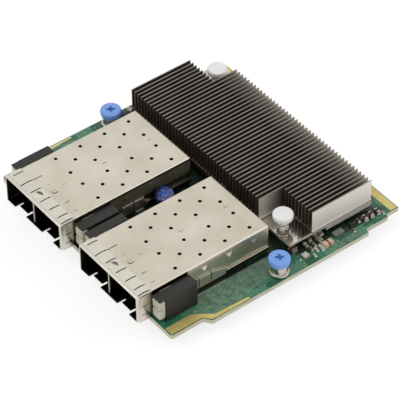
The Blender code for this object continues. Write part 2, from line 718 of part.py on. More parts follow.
def make_divider(side, middle):
    """The wall between two ports, a sheet folded double round its front edge."""
    roof = CAGE_TOP - SHEET - SHEET_GAP
    low = at(middle - DIVIDER_WIDTH / 2, DIVIDER_START, CAGE_STANDOFF + SHEET + SHEET_GAP)
    high = at(middle + DIVIDER_WIDTH / 2, CAGE_LENGTH - DIVIDER_BACK, roof)
    work = bmesh.new()
    add_box(work, low, high)
    open_faces = [f for f in work.faces if f.normal.y > FACING or abs(f.normal.z) > FACING]
    bmesh.ops.delete(work, geom=open_faces, context="FACES")
    divider = add(f"port_divider_{side}", mesh_from(work, "port_divider"), CAGE_METAL)
    wall = divider.modifiers.new("sheet", "SOLIDIFY")
    wall.thickness = DIVIDER_SHEET
    wall.offset = -1
    wall.use_even_offset = True
    tabs = []
    for back in TAB_BACKS:
        y = CAGE_LENGTH - back
        low = at(middle - DIVIDER_WIDTH / 2, y - TAB_LENGTH / 2, roof - PAST)
        tabs.append((low, at(middle - DIVIDER_WIDTH / 2 + DIVIDER_SHEET, y + TAB_LENGTH / 2, CAGE_TOP)))
    join(divider, helper(f"divider_tabs_{side}", boxes("divider_tabs", tabs)))


def make_collar(side, middle):
    """The band of bowed spring fingers round the port faces, for the panel to press on."""
    out = SHEET_GAP + COLLAR_SHEET
    low = at(middle - COLLAR_HALF, 0, CAGE_STANDOFF - out)
    high = at(middle + COLLAR_HALF, COLLAR_DEPTH, CAGE_TOP + out)
    centre = (low + high) / 2
    half = (high - low) / 2
    work = bmesh.new()
    add_box(work, low, high)
    open_faces = [f for f in work.faces if abs(f.normal.y) > FACING]
    bmesh.ops.delete(work, geom=open_faces, context="FACES")
    folds = [edge for edge in work.edges if len(edge.link_faces) == 2]
    bmesh.ops.bevel(
        work, geom=folds, offset=FOLD_RADIUS, segments=FOLD_SEGMENTS, profile=0.5, affect="EDGES"
    )
    for step in range(1, COLLAR_STEPS):
        plane = (0, low.y + COLLAR_DEPTH * step / COLLAR_STEPS, 0)
        whole = work.verts[:] + work.edges[:] + work.faces[:]
        bmesh.ops.bisect_plane(work, geom=whole, plane_co=plane, plane_no=(0, 1, 0))
    for vert in work.verts:
        bow = COLLAR_BULGE * math.sin(math.pi * (vert.co.y - low.y) / COLLAR_DEPTH)
        vert.co.x = centre.x + (vert.co.x - centre.x) * (1 + bow / half.x)
        vert.co.z = centre.z + (vert.co.z - centre.z) * (1 + bow / half.z)
    collar = add(f"spring_collar_{side}", mesh_from(work, "spring_collar"), SPRING_METAL)
    wall = collar.modifiers.new("sheet", "SOLIDIFY")
    wall.thickness = COLLAR_SHEET
    wall.offset = -1
    wall.use_even_offset = True

    slits = []
    count = int(CAGE_WIDTH / FINGER_PITCH)
    for index in range(count):
        x = middle + FINGER_SHIFT + (index - (count - 1) / 2) * FINGER_PITCH
        start = at(x - FINGER_SLIT / 2, FINGER_ROOT, CAGE_TOP)
        slits.append((start, at(x + FINGER_SLIT / 2, COLLAR_DEPTH + PAST, CAGE_TOP + PAST)))
    for port in PORT_OFFSETS:
        latch = middle + port
        low = at(latch - LATCH_HALF_WIDTH, -PAST, -PAST)
        slits.append((low, at(latch + LATCH_HALF_WIDTH, COLLAR_WINDOW, CAGE_STANDOFF)))
    middle_level = (CAGE_TOP + CAGE_STANDOFF) / 2
    for index in range(FINGER_SIDE_SLITS):
        z = middle_level + (index - (FINGER_SIDE_SLITS - 1) / 2) * FINGER_SIDE_PITCH
        reach = COLLAR_HALF + PAST
        low = at(middle - reach, FINGER_ROOT, z - FINGER_SLIT / 2)
        slits.append((low, at(middle + reach, COLLAR_DEPTH + PAST, z + FINGER_SLIT / 2)))
    cut(collar, helper(f"collar_slits_{side}", boxes("collar_slits", slits)))


def make_edge_connector(name, middle):
    """The socket at the rear of a port that a module's edge contacts slide into."""
    low = at(middle - EDGE_CONNECTOR_WIDTH / 2, EDGE_CONNECTOR_START, SEAT_GAP)
    high = at(
        middle + EDGE_CONNECTOR_WIDTH / 2,
        EDGE_CONNECTOR_START + EDGE_CONNECTOR_DEPTH,
        EDGE_CONNECTOR_HEIGHT,
    )
    socket = add(name, bevelled_box(name, low, high, EDGE_CHAMFER), BLACK_PLASTIC)
    slot = (
        at(middle - CARD_SLOT_WIDTH / 2, EDGE_CONNECTOR_START - PAST, CARD_SLOT_LEVEL),
        at(
            middle + CARD_SLOT_WIDTH / 2,
            EDGE_CONNECTOR_START + CARD_SLOT_DEPTH,
            CARD_SLOT_LEVEL + CARD_SLOT_HEIGHT,
        ),
    )
    cut(socket, helper(f"{name}_slot", boxes("card_slot", [slot])))


def make_light_pipe(name, inner, sign):
    """A holder, the clear pipe in it and its lamp, from the cage side at inner outwards along sign."""
    near = inner + sign * LIGHT_GAP
    far = near + sign * HOLDER_WIDTH
    left, right = sorted((near, far))
    holder = add(
        f"light_pipe_holder_{name}",
        bevelled_box(
            "light_pipe_holder",
            at(left, HOLDER_START, SEAT_GAP),
            at(right, HOLDER_BACK, HOLDER_TOP),
            SMALL_BEVEL,
        ),
        BLACK_PLASTIC,
    )
    hollow = (
        at(left + HOLDER_WALL, HOLDER_START - PAST, -PAST),
        at(
            right - HOLDER_WALL,
            HOLDER_BACK - HOLDER_WALL,
            HOLDER_TOP - HOLDER_WALL,
        ),
    )
    cut(holder, helper(f"holder_hollow_{name}", boxes("holder_hollow", [hollow])))
    roof = (
        at(left + SMALL_BEVEL, LENS_START + SEAT_GAP, LENS_TOP + SEAT_GAP),
        at(right - SMALL_BEVEL, HOLDER_START + HOLDER_WALL, HOLDER_TOP - SMALL_BEVEL),
    )
    join(holder, helper(f"holder_roof_{name}", boxes("holder_roof", [roof])))

    work = bmesh.new()
    add_box(
        work,
        at(left, LENS_START, LENS_BOTTOM),
        at(right, HOLDER_START - SEAT_GAP, LENS_TOP),
    )
    nose = [
        edge
        for edge in work.edges
        if all(vert.co.y < PORT_FACE + LENS_START + SEAT_GAP for vert in edge.verts)
        and abs(edge.verts[0].co.z - edge.verts[1].co.z) > LENS_GROOVE
    ]
    bmesh.ops.bevel(
        work, geom=nose, offset=LENS_ROUND, segments=EDGE_STEPS, profile=0.5, affect="EDGES"
    )
    lens = add(f"light_pipe_{name}", mesh_from(work, "light_pipe"), CLEAR_PLASTIC)
    middle = (left + right) / 2
    half = PIPE_THICKNESS / 2
    profile = (
        (HOLDER_START - PAST, PIPE_LEVEL),
        (HOLDER_START - PAST, PIPE_LEVEL + PIPE_THICKNESS),
        (PIPE_END - PIPE_THICKNESS / 2, PIPE_LEVEL + PIPE_THICKNESS),
        (PIPE_END, PIPE_LEVEL + PIPE_THICKNESS / 2),
        (PIPE_END, LED_HEIGHT + 2 * SEAT_GAP),
        (PIPE_END - PIPE_THICKNESS, LED_HEIGHT + 2 * SEAT_GAP),
        (PIPE_END - PIPE_THICKNESS, PIPE_LEVEL),
    )
    outline = [at(middle - half, y, z) for y, z in profile]
    join(lens, helper(f"pipe_arm_{name}", prisms("pipe_arm", [outline], (PIPE_THICKNESS, 0, 0))))
    groove_level = (LENS_TOP + LENS_BOTTOM) / 2
    groove = (
        at(left - PAST, LENS_START - PAST, groove_level - LENS_GROOVE / 2),
        at(right + PAST, LENS_START + LENS_ROUND, groove_level + LENS_GROOVE / 2),
    )
    cut(lens, helper(f"lens_groove_{name}", boxes("lens_groove", [groove])))

    lamp = bevelled_box(
        "lamp",
        at(middle - half, PIPE_END - PIPE_THICKNESS / 2 - LED_LENGTH / 2, SEAT_GAP),
        at(middle + half, PIPE_END - PIPE_THICKNESS / 2 + LED_LENGTH / 2, LED_HEIGHT + SEAT_GAP),
        SMALL_BEVEL,
    )
    add(f"light_{name}", lamp, CLEAR_PLASTIC)


def make_heatsink():
    """Fins and base drawn as one comb, with two milled corners and a hole for each push pin."""
    left = HEATSINK_LEFT
    right = HEATSINK_RIGHT
    front = HEATSINK_START
    comb = [
        at(left + LIP_WIDTH, front, HEATSINK_UNDER),
        at(left + LIP_WIDTH, front, HEATSINK_UNDER - LIP_HEIGHT),
        at(left, front, HEATSINK_UNDER - LIP_HEIGHT),
        at(left, front, FIN_FOOT),
    ]
    for index in range(FIN_COUNT):
        x = left + FOOT_LEDGE + index * FIN_PITCH
        comb.append(at(x, front, FIN_FOOT))
        comb.append(at(x, front, FIN_TOP))
        comb.append(at(x + FIN_THICKNESS, front, FIN_TOP))
        comb.append(at(x + FIN_THICKNESS, front, FIN_FOOT))
    comb += [
        at(right, front, FIN_FOOT),
        at(right, front, HEATSINK_UNDER - LIP_HEIGHT),
        at(right - LIP_WIDTH, front, HEATSINK_UNDER - LIP_HEIGHT),
        at(right - LIP_WIDTH, front, HEATSINK_UNDER),
    ]
    heatsink = add("heatsink", prisms("heatsink", [comb], (0, HEATSINK_DEPTH, 0)), ALUMINIUM)
    floor = FIN_FOOT - NOTCH_MILL
    notches = [
        (
            at(right - NOTCH_WIDTH, front - PAST, floor),
            at(right + PAST, front + NOTCH_DEPTH, FIN_TOP + PAST),
        ),
        (
            at(left - PAST, HEATSINK_BACK - NOTCH_DEPTH, floor),
            at(left + NOTCH_WIDTH, HEATSINK_BACK + PAST, FIN_TOP + PAST),
        ),
    ]
    cut(heatsink, helper("fin_notches", boxes("fin_notches", notches)))
    thin = FIN_FOOT - RELIEF_LEAVES
    reliefs = [
        (
            at(right - NOTCH_WIDTH, front - PAST, 0),
            at(right + PAST, front + RELIEF_DEPTH, thin),
        ),
        (
            at(left - PAST, HEATSINK_BACK - RELIEF_DEPTH, 0),
            at(left + NOTCH_WIDTH, HEATSINK_BACK + PAST, thin),
        ),
    ]
    cut(heatsink, helper("underside_reliefs", boxes("underside_reliefs", reliefs)))
    work = bmesh.new()
    middle = (HEATSINK_UNDER + FIN_FOOT) / 2
    for x, y in PUSH_PIN_PLACES.values():
        height = HEATSINK_BASE + 2 * PAST
        add_cylinder(work, at(x, y, middle), STEM_HOLE, height, SMALL_ROUND_STEPS)
    cut(heatsink, helper("stem_holes", mesh_from(work, "stem_holes")))


def make_controller():
    x = (HEATSINK_LEFT + HEATSINK_RIGHT) / 2
    half = CONTROLLER_SIDE / 2
    top = HEATSINK_UNDER - 2 * SEAT_GAP - PAD_THICKNESS
    package = bevelled_box(
        "controller",
        at(x - half, HEATSINK_MIDDLE - half, SEAT_GAP),
        at(x + half, HEATSINK_MIDDLE + half, top),
        CONTROLLER_BEVEL,
    )
    add("controller", package, BLACK_PLASTIC)
    half = PAD_SIDE / 2
    pad = boxes(
        "thermal_pad",
        [
            (
                at(x - half, HEATSINK_MIDDLE - half, top + SEAT_GAP),
                at(x + half, HEATSINK_MIDDLE + half, HEATSINK_UNDER - SEAT_GAP),
            )
        ],
    )
    add("thermal_pad", pad, PAD_GREY)


def make_push_pin(name, place):
    """A headed plastic pin with a split barb under the board, and the spring below its head."""
    x, y = place
    under = -BOARD_THICKNESS - SEAT_GAP
    radius = CAP_DIAMETER / 2
    stem = STEM_DIAMETER / 2
    profile = (
        (0.0, CAP_TOP),
        *edge_round(radius, CAP_TOP, CAP_ROUND),
        (radius, CAP_TOP - CAP_HEIGHT),
        (stem, CAP_TOP - CAP_HEIGHT),
        (stem, under),
        (BARB_DIAMETER / 2, under - SEAT_GAP),
        (BARB_DIAMETER / 2, under - BARB_SHOULDER),
        (BARB_TIP_DIAMETER / 2, under - BARB_LENGTH),
        (0.0, under - BARB_LENGTH),
    )
    pin = turned(f"push_pin_{name}", profile, at(x, y, 0), WHITE_PLASTIC, ROUND_STEPS)
    low = at(x - BARB_SLOT / 2, y - PAST - BARB_DIAMETER / 2, under - BARB_LENGTH - PAST)
    high = at(x + BARB_SLOT / 2, y + PAST + BARB_DIAMETER / 2, under - SEAT_GAP)
    cut(pin, helper(f"barb_slot_{name}", boxes("barb_slot", [(low, high)])))
    foot = FIN_FOOT - NOTCH_MILL + SEAT_GAP
    coil(
        f"push_pin_spring_{name}",
        (PUSH_SPRING_DIAMETER - PUSH_SPRING_WIRE) / 2,
        PUSH_SPRING_WIRE,
        PUSH_SPRING_TURNS,
        CAP_TOP - CAP_HEIGHT - SEAT_GAP - foot,
        at(x, y, foot),
        SPRING_METAL,
    )


def recess_mesh(x, y):
    """A tapered cross, as a screwdriver leaves room for."""
    half = RECESS_SPAN / 2
    arm = RECESS_WIDTH / 2
    quarter = [(half, -arm), (half, arm), (arm, arm)]
    outline = []
    for turn in range(4):
        angle = RECESS_TURN + turn * math.pi / 2
        for px, py in quarter:
            outline.append(
                (
                    px * math.cos(angle) - py * math.sin(angle),
                    px * math.sin(angle) + py * math.cos(angle),
                )
            )
    work = bmesh.new()
    face = work.faces.new([work.verts.new((px, py, RECESS_DEPTH)) for px, py in outline])
    drawn = bmesh.ops.extrude_face_region(work, geom=[face])["geom"]
    lower = [item for item in drawn if isinstance(item, bmesh.types.BMVert)]
    for vert in lower:
        vert.co = (vert.co.x * RECESS_TAPER, vert.co.y * RECESS_TAPER, -RECESS_DEPTH)
    mesh = mesh_from(work, "recess")
    mesh.transform(Matrix.Translation(at(x, y, KNOB_TOP)))
    return mesh


def make_thumbscrew(name, place):
    """A knob with its screw, held captive in a ferrule and lifted by a spring inside it."""
    x, y = place
    centre = at(x, y, 0)
    radius = KNOB_DIAMETER / 2
    foot = KNOB_TOP - KNOB_HEIGHT
    plug = SCREW_PLUG_DIAMETER / 2
    plug_top = foot + SCREW_PLUG_HEIGHT
    knob_profile = (
        (0.0, KNOB_TOP),
        *edge_round(radius, KNOB_TOP, KNOB_ROUND),
        (KNOB_FOOT_DIAMETER / 2, foot + KNOB_ROUND),
        (KNOB_FOOT_DIAMETER / 2 - KNOB_ROUND, foot),
        (plug + SEAT_GAP, foot),
        (plug + SEAT_GAP, plug_top + SEAT_GAP),
        (0.0, plug_top + SEAT_GAP),
    )
    knob = turned(f"thumbscrew_knob_{name}", knob_profile, centre, BLUE_PLASTIC, ROUND_STEPS)
    cut(knob, helper(f"recess_{name}", recess_mesh(x, y)))

    neck = SCREW_NECK_DIAMETER / 2
    thread = THREAD_DIAMETER / 2
    tip = -BOARD_THICKNESS - THREAD_REACH
    shank_end = -BOARD_THICKNESS - SEAT_GAP
    screw_profile = (
        (0.0, plug_top),
        (plug, plug_top),
        (plug, foot),
        (neck, foot),
        (neck, shank_end - RUN_GAP),
        (thread, shank_end - RUN_GAP),
        (thread, tip + THREAD_CHAMFER),
        (thread - THREAD_CHAMFER, tip),
        (0.0, tip),
    )
    turned(f"thumbscrew_{name}", screw_profile, centre, STEEL, SMALL_ROUND_STEPS)

    flange = FERRULE_FLANGE_DIAMETER / 2
    barrel = FERRULE_DIAMETER / 2
    shank = FERRULE_SHANK_DIAMETER / 2
    top = foot - RUN_GAP
    flange_top = SEAT_GAP + FERRULE_FLANGE_HEIGHT
    floor = SEAT_GAP + FERRULE_FLOOR
    ferrule_profile = (
        (barrel, top),
        (barrel, flange_top),
        (flange, flange_top),
        (flange, SEAT_GAP),
        (shank, SEAT_GAP),
        (shank, shank_end),
        (neck + RUN_GAP, shank_end),
        (neck + RUN_GAP, floor),
        (barrel - FERRULE_WALL, floor),
        (barrel - FERRULE_WALL, top),
    )
    turned(
        f"thumbscrew_ferrule_{name}", ferrule_profile, centre, STEEL, SMALL_ROUND_STEPS, closed=True
    )

    outer = barrel - FERRULE_WALL - RUN_GAP
    coil(
        f"thumbscrew_spring_{name}",
        outer - KNOB_SPRING_WIRE / 2,
        KNOB_SPRING_WIRE,
        KNOB_SPRING_TURNS,
        foot - floor - 2 * SEAT_GAP,
        at(x, y, floor + SEAT_GAP),
        SPRING_METAL,
    )


def make_stack_connector():
    """The plug that mates with the host board: a slotted body with a row of tails on each side."""
    top = -BOARD_THICKNESS - SEAT_GAP
    bottom = -BOARD_THICKNESS - UNDERSIDE_HEIGHT
    y = BOARD_BACK - STACK_INSET
    body = add(
        "board_connector",
        bevelled_box(
            "board_connector",
            at(-STACK_LENGTH / 2, y - STACK_WIDTH / 2, bottom),
            at(STACK_LENGTH / 2, y + STACK_WIDTH / 2, top),
            SMALL_BEVEL,
        ),
        BLACK_PLASTIC,
    )
    slot = (
        at(-STACK_SLOT_LENGTH / 2, y - STACK_SLOT_WIDTH / 2, bottom - PAST),
        at(STACK_SLOT_LENGTH / 2, y + STACK_SLOT_WIDTH / 2, bottom + STACK_SLOT_DEPTH),
    )
    cut(body, helper("stack_slot", boxes("stack_slot", [slot])))
    count = int(STACK_SLOT_LENGTH / STACK_TAIL_PITCH)
    reach = STACK_WIDTH / 2 + STACK_TAIL_REACH
    tails = []
    for index in range(count):
        x = (index - (count - 1) / 2) * STACK_TAIL_PITCH
        low = at(x - STACK_TAIL_WIDTH / 2, y - reach, top - STACK_TAIL_HEIGHT)
        high = at(x + STACK_TAIL_WIDTH / 2, y + reach, top - SMALL_BEVEL)
        tails.append((low, high))
    join(body, helper("stack_tails", boxes("stack_tails", tails)))


def make_small_part(name, x, y, length, width, height):
    mesh = bevelled_box(
        name,
        at(x - length / 2, y - width / 2, SEAT_GAP),
        at(x + length / 2, y + width / 2, SEAT_GAP + height),
        SMALL_BEVEL,
    )
    add(name, mesh, CERAMIC)


def main():
    make_board()
    for side, middle in CAGE_PLACES.items():
        make_cage_shell(side, middle)
        make_cage_floor(side, middle)
        make_divider(side, middle)
        make_collar(side, middle)
        for number, port in enumerate(PORT_OFFSETS, 1):
            make_edge_connector(f"edge_connector_{side}_{number}", middle + port)
        make_light_pipe(f"{side}_1", middle - CAGE_HALF, -1)
        make_light_pipe(f"{side}_2", middle + CAGE_HALF, 1)
    make_heatsink()
    make_controller()
    for name, place in PUSH_PIN_PLACES.items():
        make_push_pin(name, place)
    for name, place in THUMB_PLACES.items():
        make_thumbscrew(name, place)
    make_stack_connector()
    for name, side, inset, back, *sizes in SMALL_PARTS:
        make_small_part(name, side * (BOARD_WIDTH / 2 - inset), HEATSINK_START + back, *sizes)
    for name, x, back, *sizes in GAP_PARTS:
        make_small_part(name, x, HOLDER_BACK + back, *sizes)


clear_scene()
PARTS = new_collection("mezzanine_network_card")
CUTTERS = new_collection("cutters")
BOARD = material("board_green", (0.02, 0.16, 0.08), 0.4, 0.0)
CAGE_METAL = material("cage_metal", (0.66, 0.62, 0.54), 0.35, 1.0)
SPRING_METAL = material("spring_metal", (0.6, 0.57, 0.5), 0.3, 1.0)
ALUMINIUM = material("aluminium", (0.55, 0.53, 0.5), 0.4, 1.0)
STEEL = material("steel", (0.62, 0.61, 0.6), 0.3, 1.0)
BLACK_PLASTIC = material("black_plastic", (0.015, 0.014, 0.016), 0.5, 0.0)
CLEAR_PLASTIC = material("clear_plastic", (0.75, 0.74, 0.7), 0.25, 0.0)
WHITE_PLASTIC = material("white_plastic", (0.8, 0.8, 0.82), 0.4, 0.0)
BLUE_PLASTIC = material("blue_plastic", (0.1, 0.28, 0.75), 0.35, 0.0)
PAD_GREY = material("pad_grey", (0.35, 0.38, 0.42), 0.8, 0.0)
CERAMIC = material("ceramic", (0.4, 0.28, 0.18), 0.5, 0.0)
main()
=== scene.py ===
# %% [markdown]
# # A mezzanine network card
# The card carries four ports in two double cages of folded sheet metal, one long finned heatsink,
# two push pins and three captive thumbscrews. The solid model comes first and never moves. Each
# visible sheet, screw, spring and soldered part is then made again with finer edges, or keeps its
# solid and gets a finish of its own.
# %% Load the solid model
import math
from functools import partialmethod

import bmesh
import bpy
from mathutils import Matrix, Vector


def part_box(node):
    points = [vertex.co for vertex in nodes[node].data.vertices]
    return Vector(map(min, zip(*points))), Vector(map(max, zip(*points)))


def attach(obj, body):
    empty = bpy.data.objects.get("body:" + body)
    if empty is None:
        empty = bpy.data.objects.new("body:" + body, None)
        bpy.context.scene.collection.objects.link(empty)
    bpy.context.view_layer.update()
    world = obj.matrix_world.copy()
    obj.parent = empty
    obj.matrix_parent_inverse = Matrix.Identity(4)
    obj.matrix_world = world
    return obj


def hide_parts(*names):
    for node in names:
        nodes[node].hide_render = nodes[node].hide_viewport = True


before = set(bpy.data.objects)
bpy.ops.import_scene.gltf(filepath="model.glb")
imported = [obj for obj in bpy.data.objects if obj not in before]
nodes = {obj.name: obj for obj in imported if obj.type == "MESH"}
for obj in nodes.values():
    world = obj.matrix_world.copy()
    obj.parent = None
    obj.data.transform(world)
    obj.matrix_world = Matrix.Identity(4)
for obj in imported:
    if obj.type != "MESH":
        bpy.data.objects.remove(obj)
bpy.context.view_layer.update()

# %% [markdown]
# The card is drawn in millimetres from three references: X from the middle of the board, Y from
# the faces of the ports towards the rear, Z above the board's upper face. The solid model says
# where these planes are, so one small helper turns such a place into Blender's metres, and
# another gives a solid's box in the card's own millimetres.
# %% Places on the card
MM = 0.001
BOARD_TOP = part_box("circuit_board")[1].z
BOARD_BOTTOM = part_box("circuit_board")[0].z
PORT_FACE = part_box("cage_shell_right")[0].y
CAGE_X = 19.3
CAGES = {"right": CAGE_X, "left": -CAGE_X}
PORTS = (-7.125, 7.125)
THUMBS = {"right": (42.5, 46.2), "middle": (-1.2, 35.8), "left": (-42.5, 46.2)}
PUSH_PINS = {"front": (31.5, 56.4), "rear": (-33.9, 82.3)}


def at(x, y, z):
    return Vector((x * MM, PORT_FACE + y * MM, BOARD_TOP + z * MM))


def box_mm(name):
    low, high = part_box(name)
    return (low - at(0, 0, 0)) / MM, (high - at(0, 0, 0)) / MM


print("board top", round(BOARD_TOP, 5), "port face", round(PORT_FACE, 5))

# %% [markdown]
# The photograph is taken with a long lens from the front right corner, looking down at about 43
# degrees. A camera in Blender looks along its own -Z, so the three columns of its matrix are the
# right, the up and the backward direction, with the small roll of the photograph in them.
# %% Camera
AZIMUTH = math.radians(52.95)
ELEVATION = math.radians(43.3)
ROLL = math.radians(-0.88)
TARGET = Vector((7.82, -3.22, 11.37)) * MM
DISTANCE = 785.76 * MM

back = Vector((
    math.sin(AZIMUTH) * math.cos(ELEVATION),
    -math.cos(AZIMUTH) * math.cos(ELEVATION),
    math.sin(ELEVATION),
))
level = Vector((math.cos(AZIMUTH), math.sin(AZIMUTH), 0.0))
upright = back.cross(level)
right = level * math.cos(ROLL) + upright * math.sin(ROLL)
up = upright * math.cos(ROLL) - level * math.sin(ROLL)
lens = bpy.data.cameras.new("camera")
lens.lens = 231.91
lens.sensor_width = 36.0
lens.sensor_fit = "HORIZONTAL"
lens.clip_end = 10.0
camera = bpy.data.objects.new("camera", lens)
turn_to = Matrix((right, up, back)).transposed().to_4x4()
camera.matrix_world = Matrix.Translation(TARGET + back * DISTANCE) @ turn_to
bpy.context.scene.collection.objects.link(camera)
bpy.context.scene.camera = camera
print("camera at", [round(value, 4) for value in camera.matrix_world.translation])

# %% [markdown]
# Every finish here is a Principled shader fed by a few noise textures on Object coordinates, so
# it needs no image and stays put when a piece moves. Two small classes keep the node code short.
# The first, a Field, is a value that varies over a piece: its sums, products and comparisons
# become Math nodes, so a mask reads like a sentence about x, y and z.
# %% Fields
def node(tree, kind, **settings):
    """A node. A name with a capital is one of its inputs, the others are its own settings."""
    made = tree.nodes.new(kind)
    for name, value in settings.items():
        if name[0].isupper():
            made.inputs[name].default_value = value
        else:
            setattr(made, name, value)
    return made


def linear(red, green, blue):
    """A colour written as on a screen, 0 to 255, in Blender's linear values."""
    parts = [value / 255 for value in (red, green, blue)]
    return tuple(p / 12.92 if p <= 0.04045 else ((p + 0.055) / 1.055) ** 2.4 for p in parts)


class Field:
    """A value that varies over a piece. A comparison gives 1 where it holds and 0 elsewhere."""

    def __init__(self, tree, socket):
        self.tree = tree
        self.socket = socket

    def math(self, operation, *others):
        made = node(self.tree, "ShaderNodeMath", operation=operation)
        for socket, value in zip(made.inputs, (self, *others)):
            feed(socket, value)
        return Field(self.tree, made.outputs["Value"])

    __add__ = partialmethod(math, "ADD")
    __sub__ = partialmethod(math, "SUBTRACT")
    __mul__ = partialmethod(math, "MULTIPLY")
    __or__ = partialmethod(math, "MAXIMUM")
    __gt__ = partialmethod(math, "GREATER_THAN")
    __lt__ = partialmethod(math, "LESS_THAN")
    __abs__ = partialmethod(math, "ABSOLUTE")

    def within(self, low, high):
        return (self > low) * (self < high)


def feed(socket, value):
    """Gives an input of a node a field or one value."""
    if isinstance(value, Field):
        value.tree.links.new(value.socket, socket)
    else:
        socket.default_value = value


print("fields ready")

# %% [markdown]
# The second, a Paint, is one material in the making, with the noises, ramps, fades and mixes that
# all finishes need. Most finishes wander between two colours and have a fine grain, so one
# function makes them from a row of numbers.
# %% Paints
finishes = {}  # by name, because some solids bring a material of the same name


class Paint:
    """One material in the making. Colours are written as on a screen, 0 to 255."""

    def __init__(self, name):
        finishes[name] = bpy.data.materials.new(name)
        finishes[name].use_nodes = True
        self.tree = finishes[name].node_tree
        self.shader = self.tree.nodes["Principled BSDF"]
        self.place = node(self.tree, "ShaderNodeTexCoord").outputs["Object"]

    def axes(self):
        """X, Y and Z in millimetres from the card's references."""
        split = node(self.tree, "ShaderNodeSeparateXYZ")
        self.tree.links.new(self.place, split.inputs["Vector"])
        starts = zip("XYZ", (0.0, PORT_FACE, BOARD_TOP))
        return [(Field(self.tree, split.outputs[name]) - start) * (1 / MM) for name, start in starts]

    def mapped(self, **settings):
        """The place on the piece, stretched or turned."""
        made = node(self.tree, "ShaderNodeMapping", **settings)
        self.tree.links.new(self.place, made.inputs["Vector"])
        return made.outputs["Vector"]

    def texture(self, kind, output, where=None, **settings):
        made = node(self.tree, f"ShaderNodeTex{kind}", **settings)
        self.tree.links.new(where or self.place, made.inputs["Vector"])
        return Field(self.tree, made.outputs[output])

    def noise(self, scale, detail=2.0, stretch=(1.0, 1.0, 1.0)):
        """Noise of so many grains to a metre, drawn out along an axis by a small stretch."""
        return self.texture("Noise", "Fac", self.mapped(Scale=stretch), Scale=scale, Detail=detail)

    def dots(self, scale, radius):
        """1 in dots round the middles of random cells."""
        return self.texture("Voronoi", "Distance", Scale=scale) < radius

    def ramp(self, field, *stops):
        made = node(self.tree, "ShaderNodeValToRGB")
        elements = made.color_ramp.elements
        while len(elements) < len(stops):
            elements.new(0.5)
        for element, (position, colour) in zip(elements, stops):
            element.position = position
            element.color = (*linear(*colour), 1.0)
        feed(made.inputs["Fac"], field)
        return Field(self.tree, made.outputs["Color"])

    def cloudy(self, cloud, dark, light):
        return self.ramp(cloud, (0.3, dark), (0.7, light))

    def fade(self, field, start, end, low=0.0, high=1.0):
        """Goes from low to high while a field goes from start to end."""
        bounds = {"From Min": start, "From Max": end, "To Min": low, "To Max": high}
        made = node(self.tree, "ShaderNodeMapRange", **bounds)
        feed(made.inputs["Value"], field)
        return Field(self.tree, made.outputs["Result"])

    def mix(self, share, first, second):
        made = node(self.tree, "ShaderNodeMix", data_type="RGBA")
        feed(made.inputs["Factor"], share)
        colours = [socket for socket in made.inputs if socket.type == "RGBA"]
        for socket, value in zip(colours, (first, second)):
            feed(socket, value if isinstance(value, Field) else (*linear(*value), 1.0))
        return Field(self.tree, [socket for socket in made.outputs if socket.type == "RGBA"][0])

    def set(self, name, value):
        feed(self.shader.inputs[name], value)

    def rough(self, field, low, high):
        self.set("Roughness", self.fade(field, 0.3, 0.7, low, high))

    def bump(self, height, strength, distance=0.01):
        """Relief from a field of heights, its distance in millimetres."""
        made = node(self.tree, "ShaderNodeBump", Strength=strength, Distance=distance * MM)
        feed(made.inputs["Height"], height)
        self.tree.links.new(made.outputs["Normal"], self.shader.inputs["Normal"])


def finish(name, dark, light, rough=(0.45, 0.6), metallic=0.0, grain=4000.0, relief=0.1):
    """Wanders between two colours and two roughnesses, with a fine grain, by default ceramic."""
    paint = Paint(name)
    fine = paint.noise(grain * 4.0)
    paint.set("Base Color", paint.cloudy(paint.noise(grain * 0.12, 3.0), dark, light))
    paint.set("Metallic", metallic)
    paint.rough(fine, *rough)
    paint.bump(fine, relief)


print("paints ready")

# %% [markdown]
# The cages are stamped from nickel-plated steel, which is bright but satin: it takes a pale warm
# grey from its surroundings. The springy collar is thinner and a little cooler. The screws and
# ferrules are polished steel, the ends of the small parts are tinned. A metal has no colour of its
# own under the gloss, so the base colour is what it reflects. Where the cage's sheet faces only
# black parts it is painted black, as a painted reflection of them. The insides of the cages, their
# floors, most of the dividers and the walls in the gap between the cages get painted shade, and so
# does the far half of each collar's dimple. The paler gold serves only as a painted highlight.
# %% Metals
METALS = {  # dark and light colour, roughness, metallic, grain, relief
    "painted_shade_inside": ((44, 40, 36), (60, 55, 50), (0.4, 0.5), 1.0, 700.0),
    "spring_steel": ((205, 200, 188), (216, 211, 199), (0.26, 0.36), 1.0, 900.0),
    "painted_shade_dimple": ((70, 65, 56), (132, 125, 112), (0.4, 0.5), 0.2, 1500.0),
    "bright_steel": ((168, 160, 150), (190, 183, 172), (0.16, 0.26), 1.0, 1500.0),
    "wire_steel": ((208, 202, 192), (224, 218, 208), (0.2, 0.3), 0.6, 1500.0),
    "tin": ((170, 168, 160), (206, 204, 196), (0.3, 0.5), 1.0, 4000.0, 0.3),
    "gold": ((202, 180, 104), (220, 202, 130), (0.34, 0.46), 0.45, 1200.0),
    # paler gold, used as a painted highlight on the left corner strip and on the holders' top lines
    "painted_highlight_gold": ((204, 196, 136), (220, 214, 164), (0.34, 0.46), 0.4, 1200.0),
}
for name, values in METALS.items():
    finish(name, *values)

WALL_TOP = 10.15  # a cage's walls end here and its upper folds begin
GAP_HALF = 5.3  # the walls that face each other lie within this distance of the middle


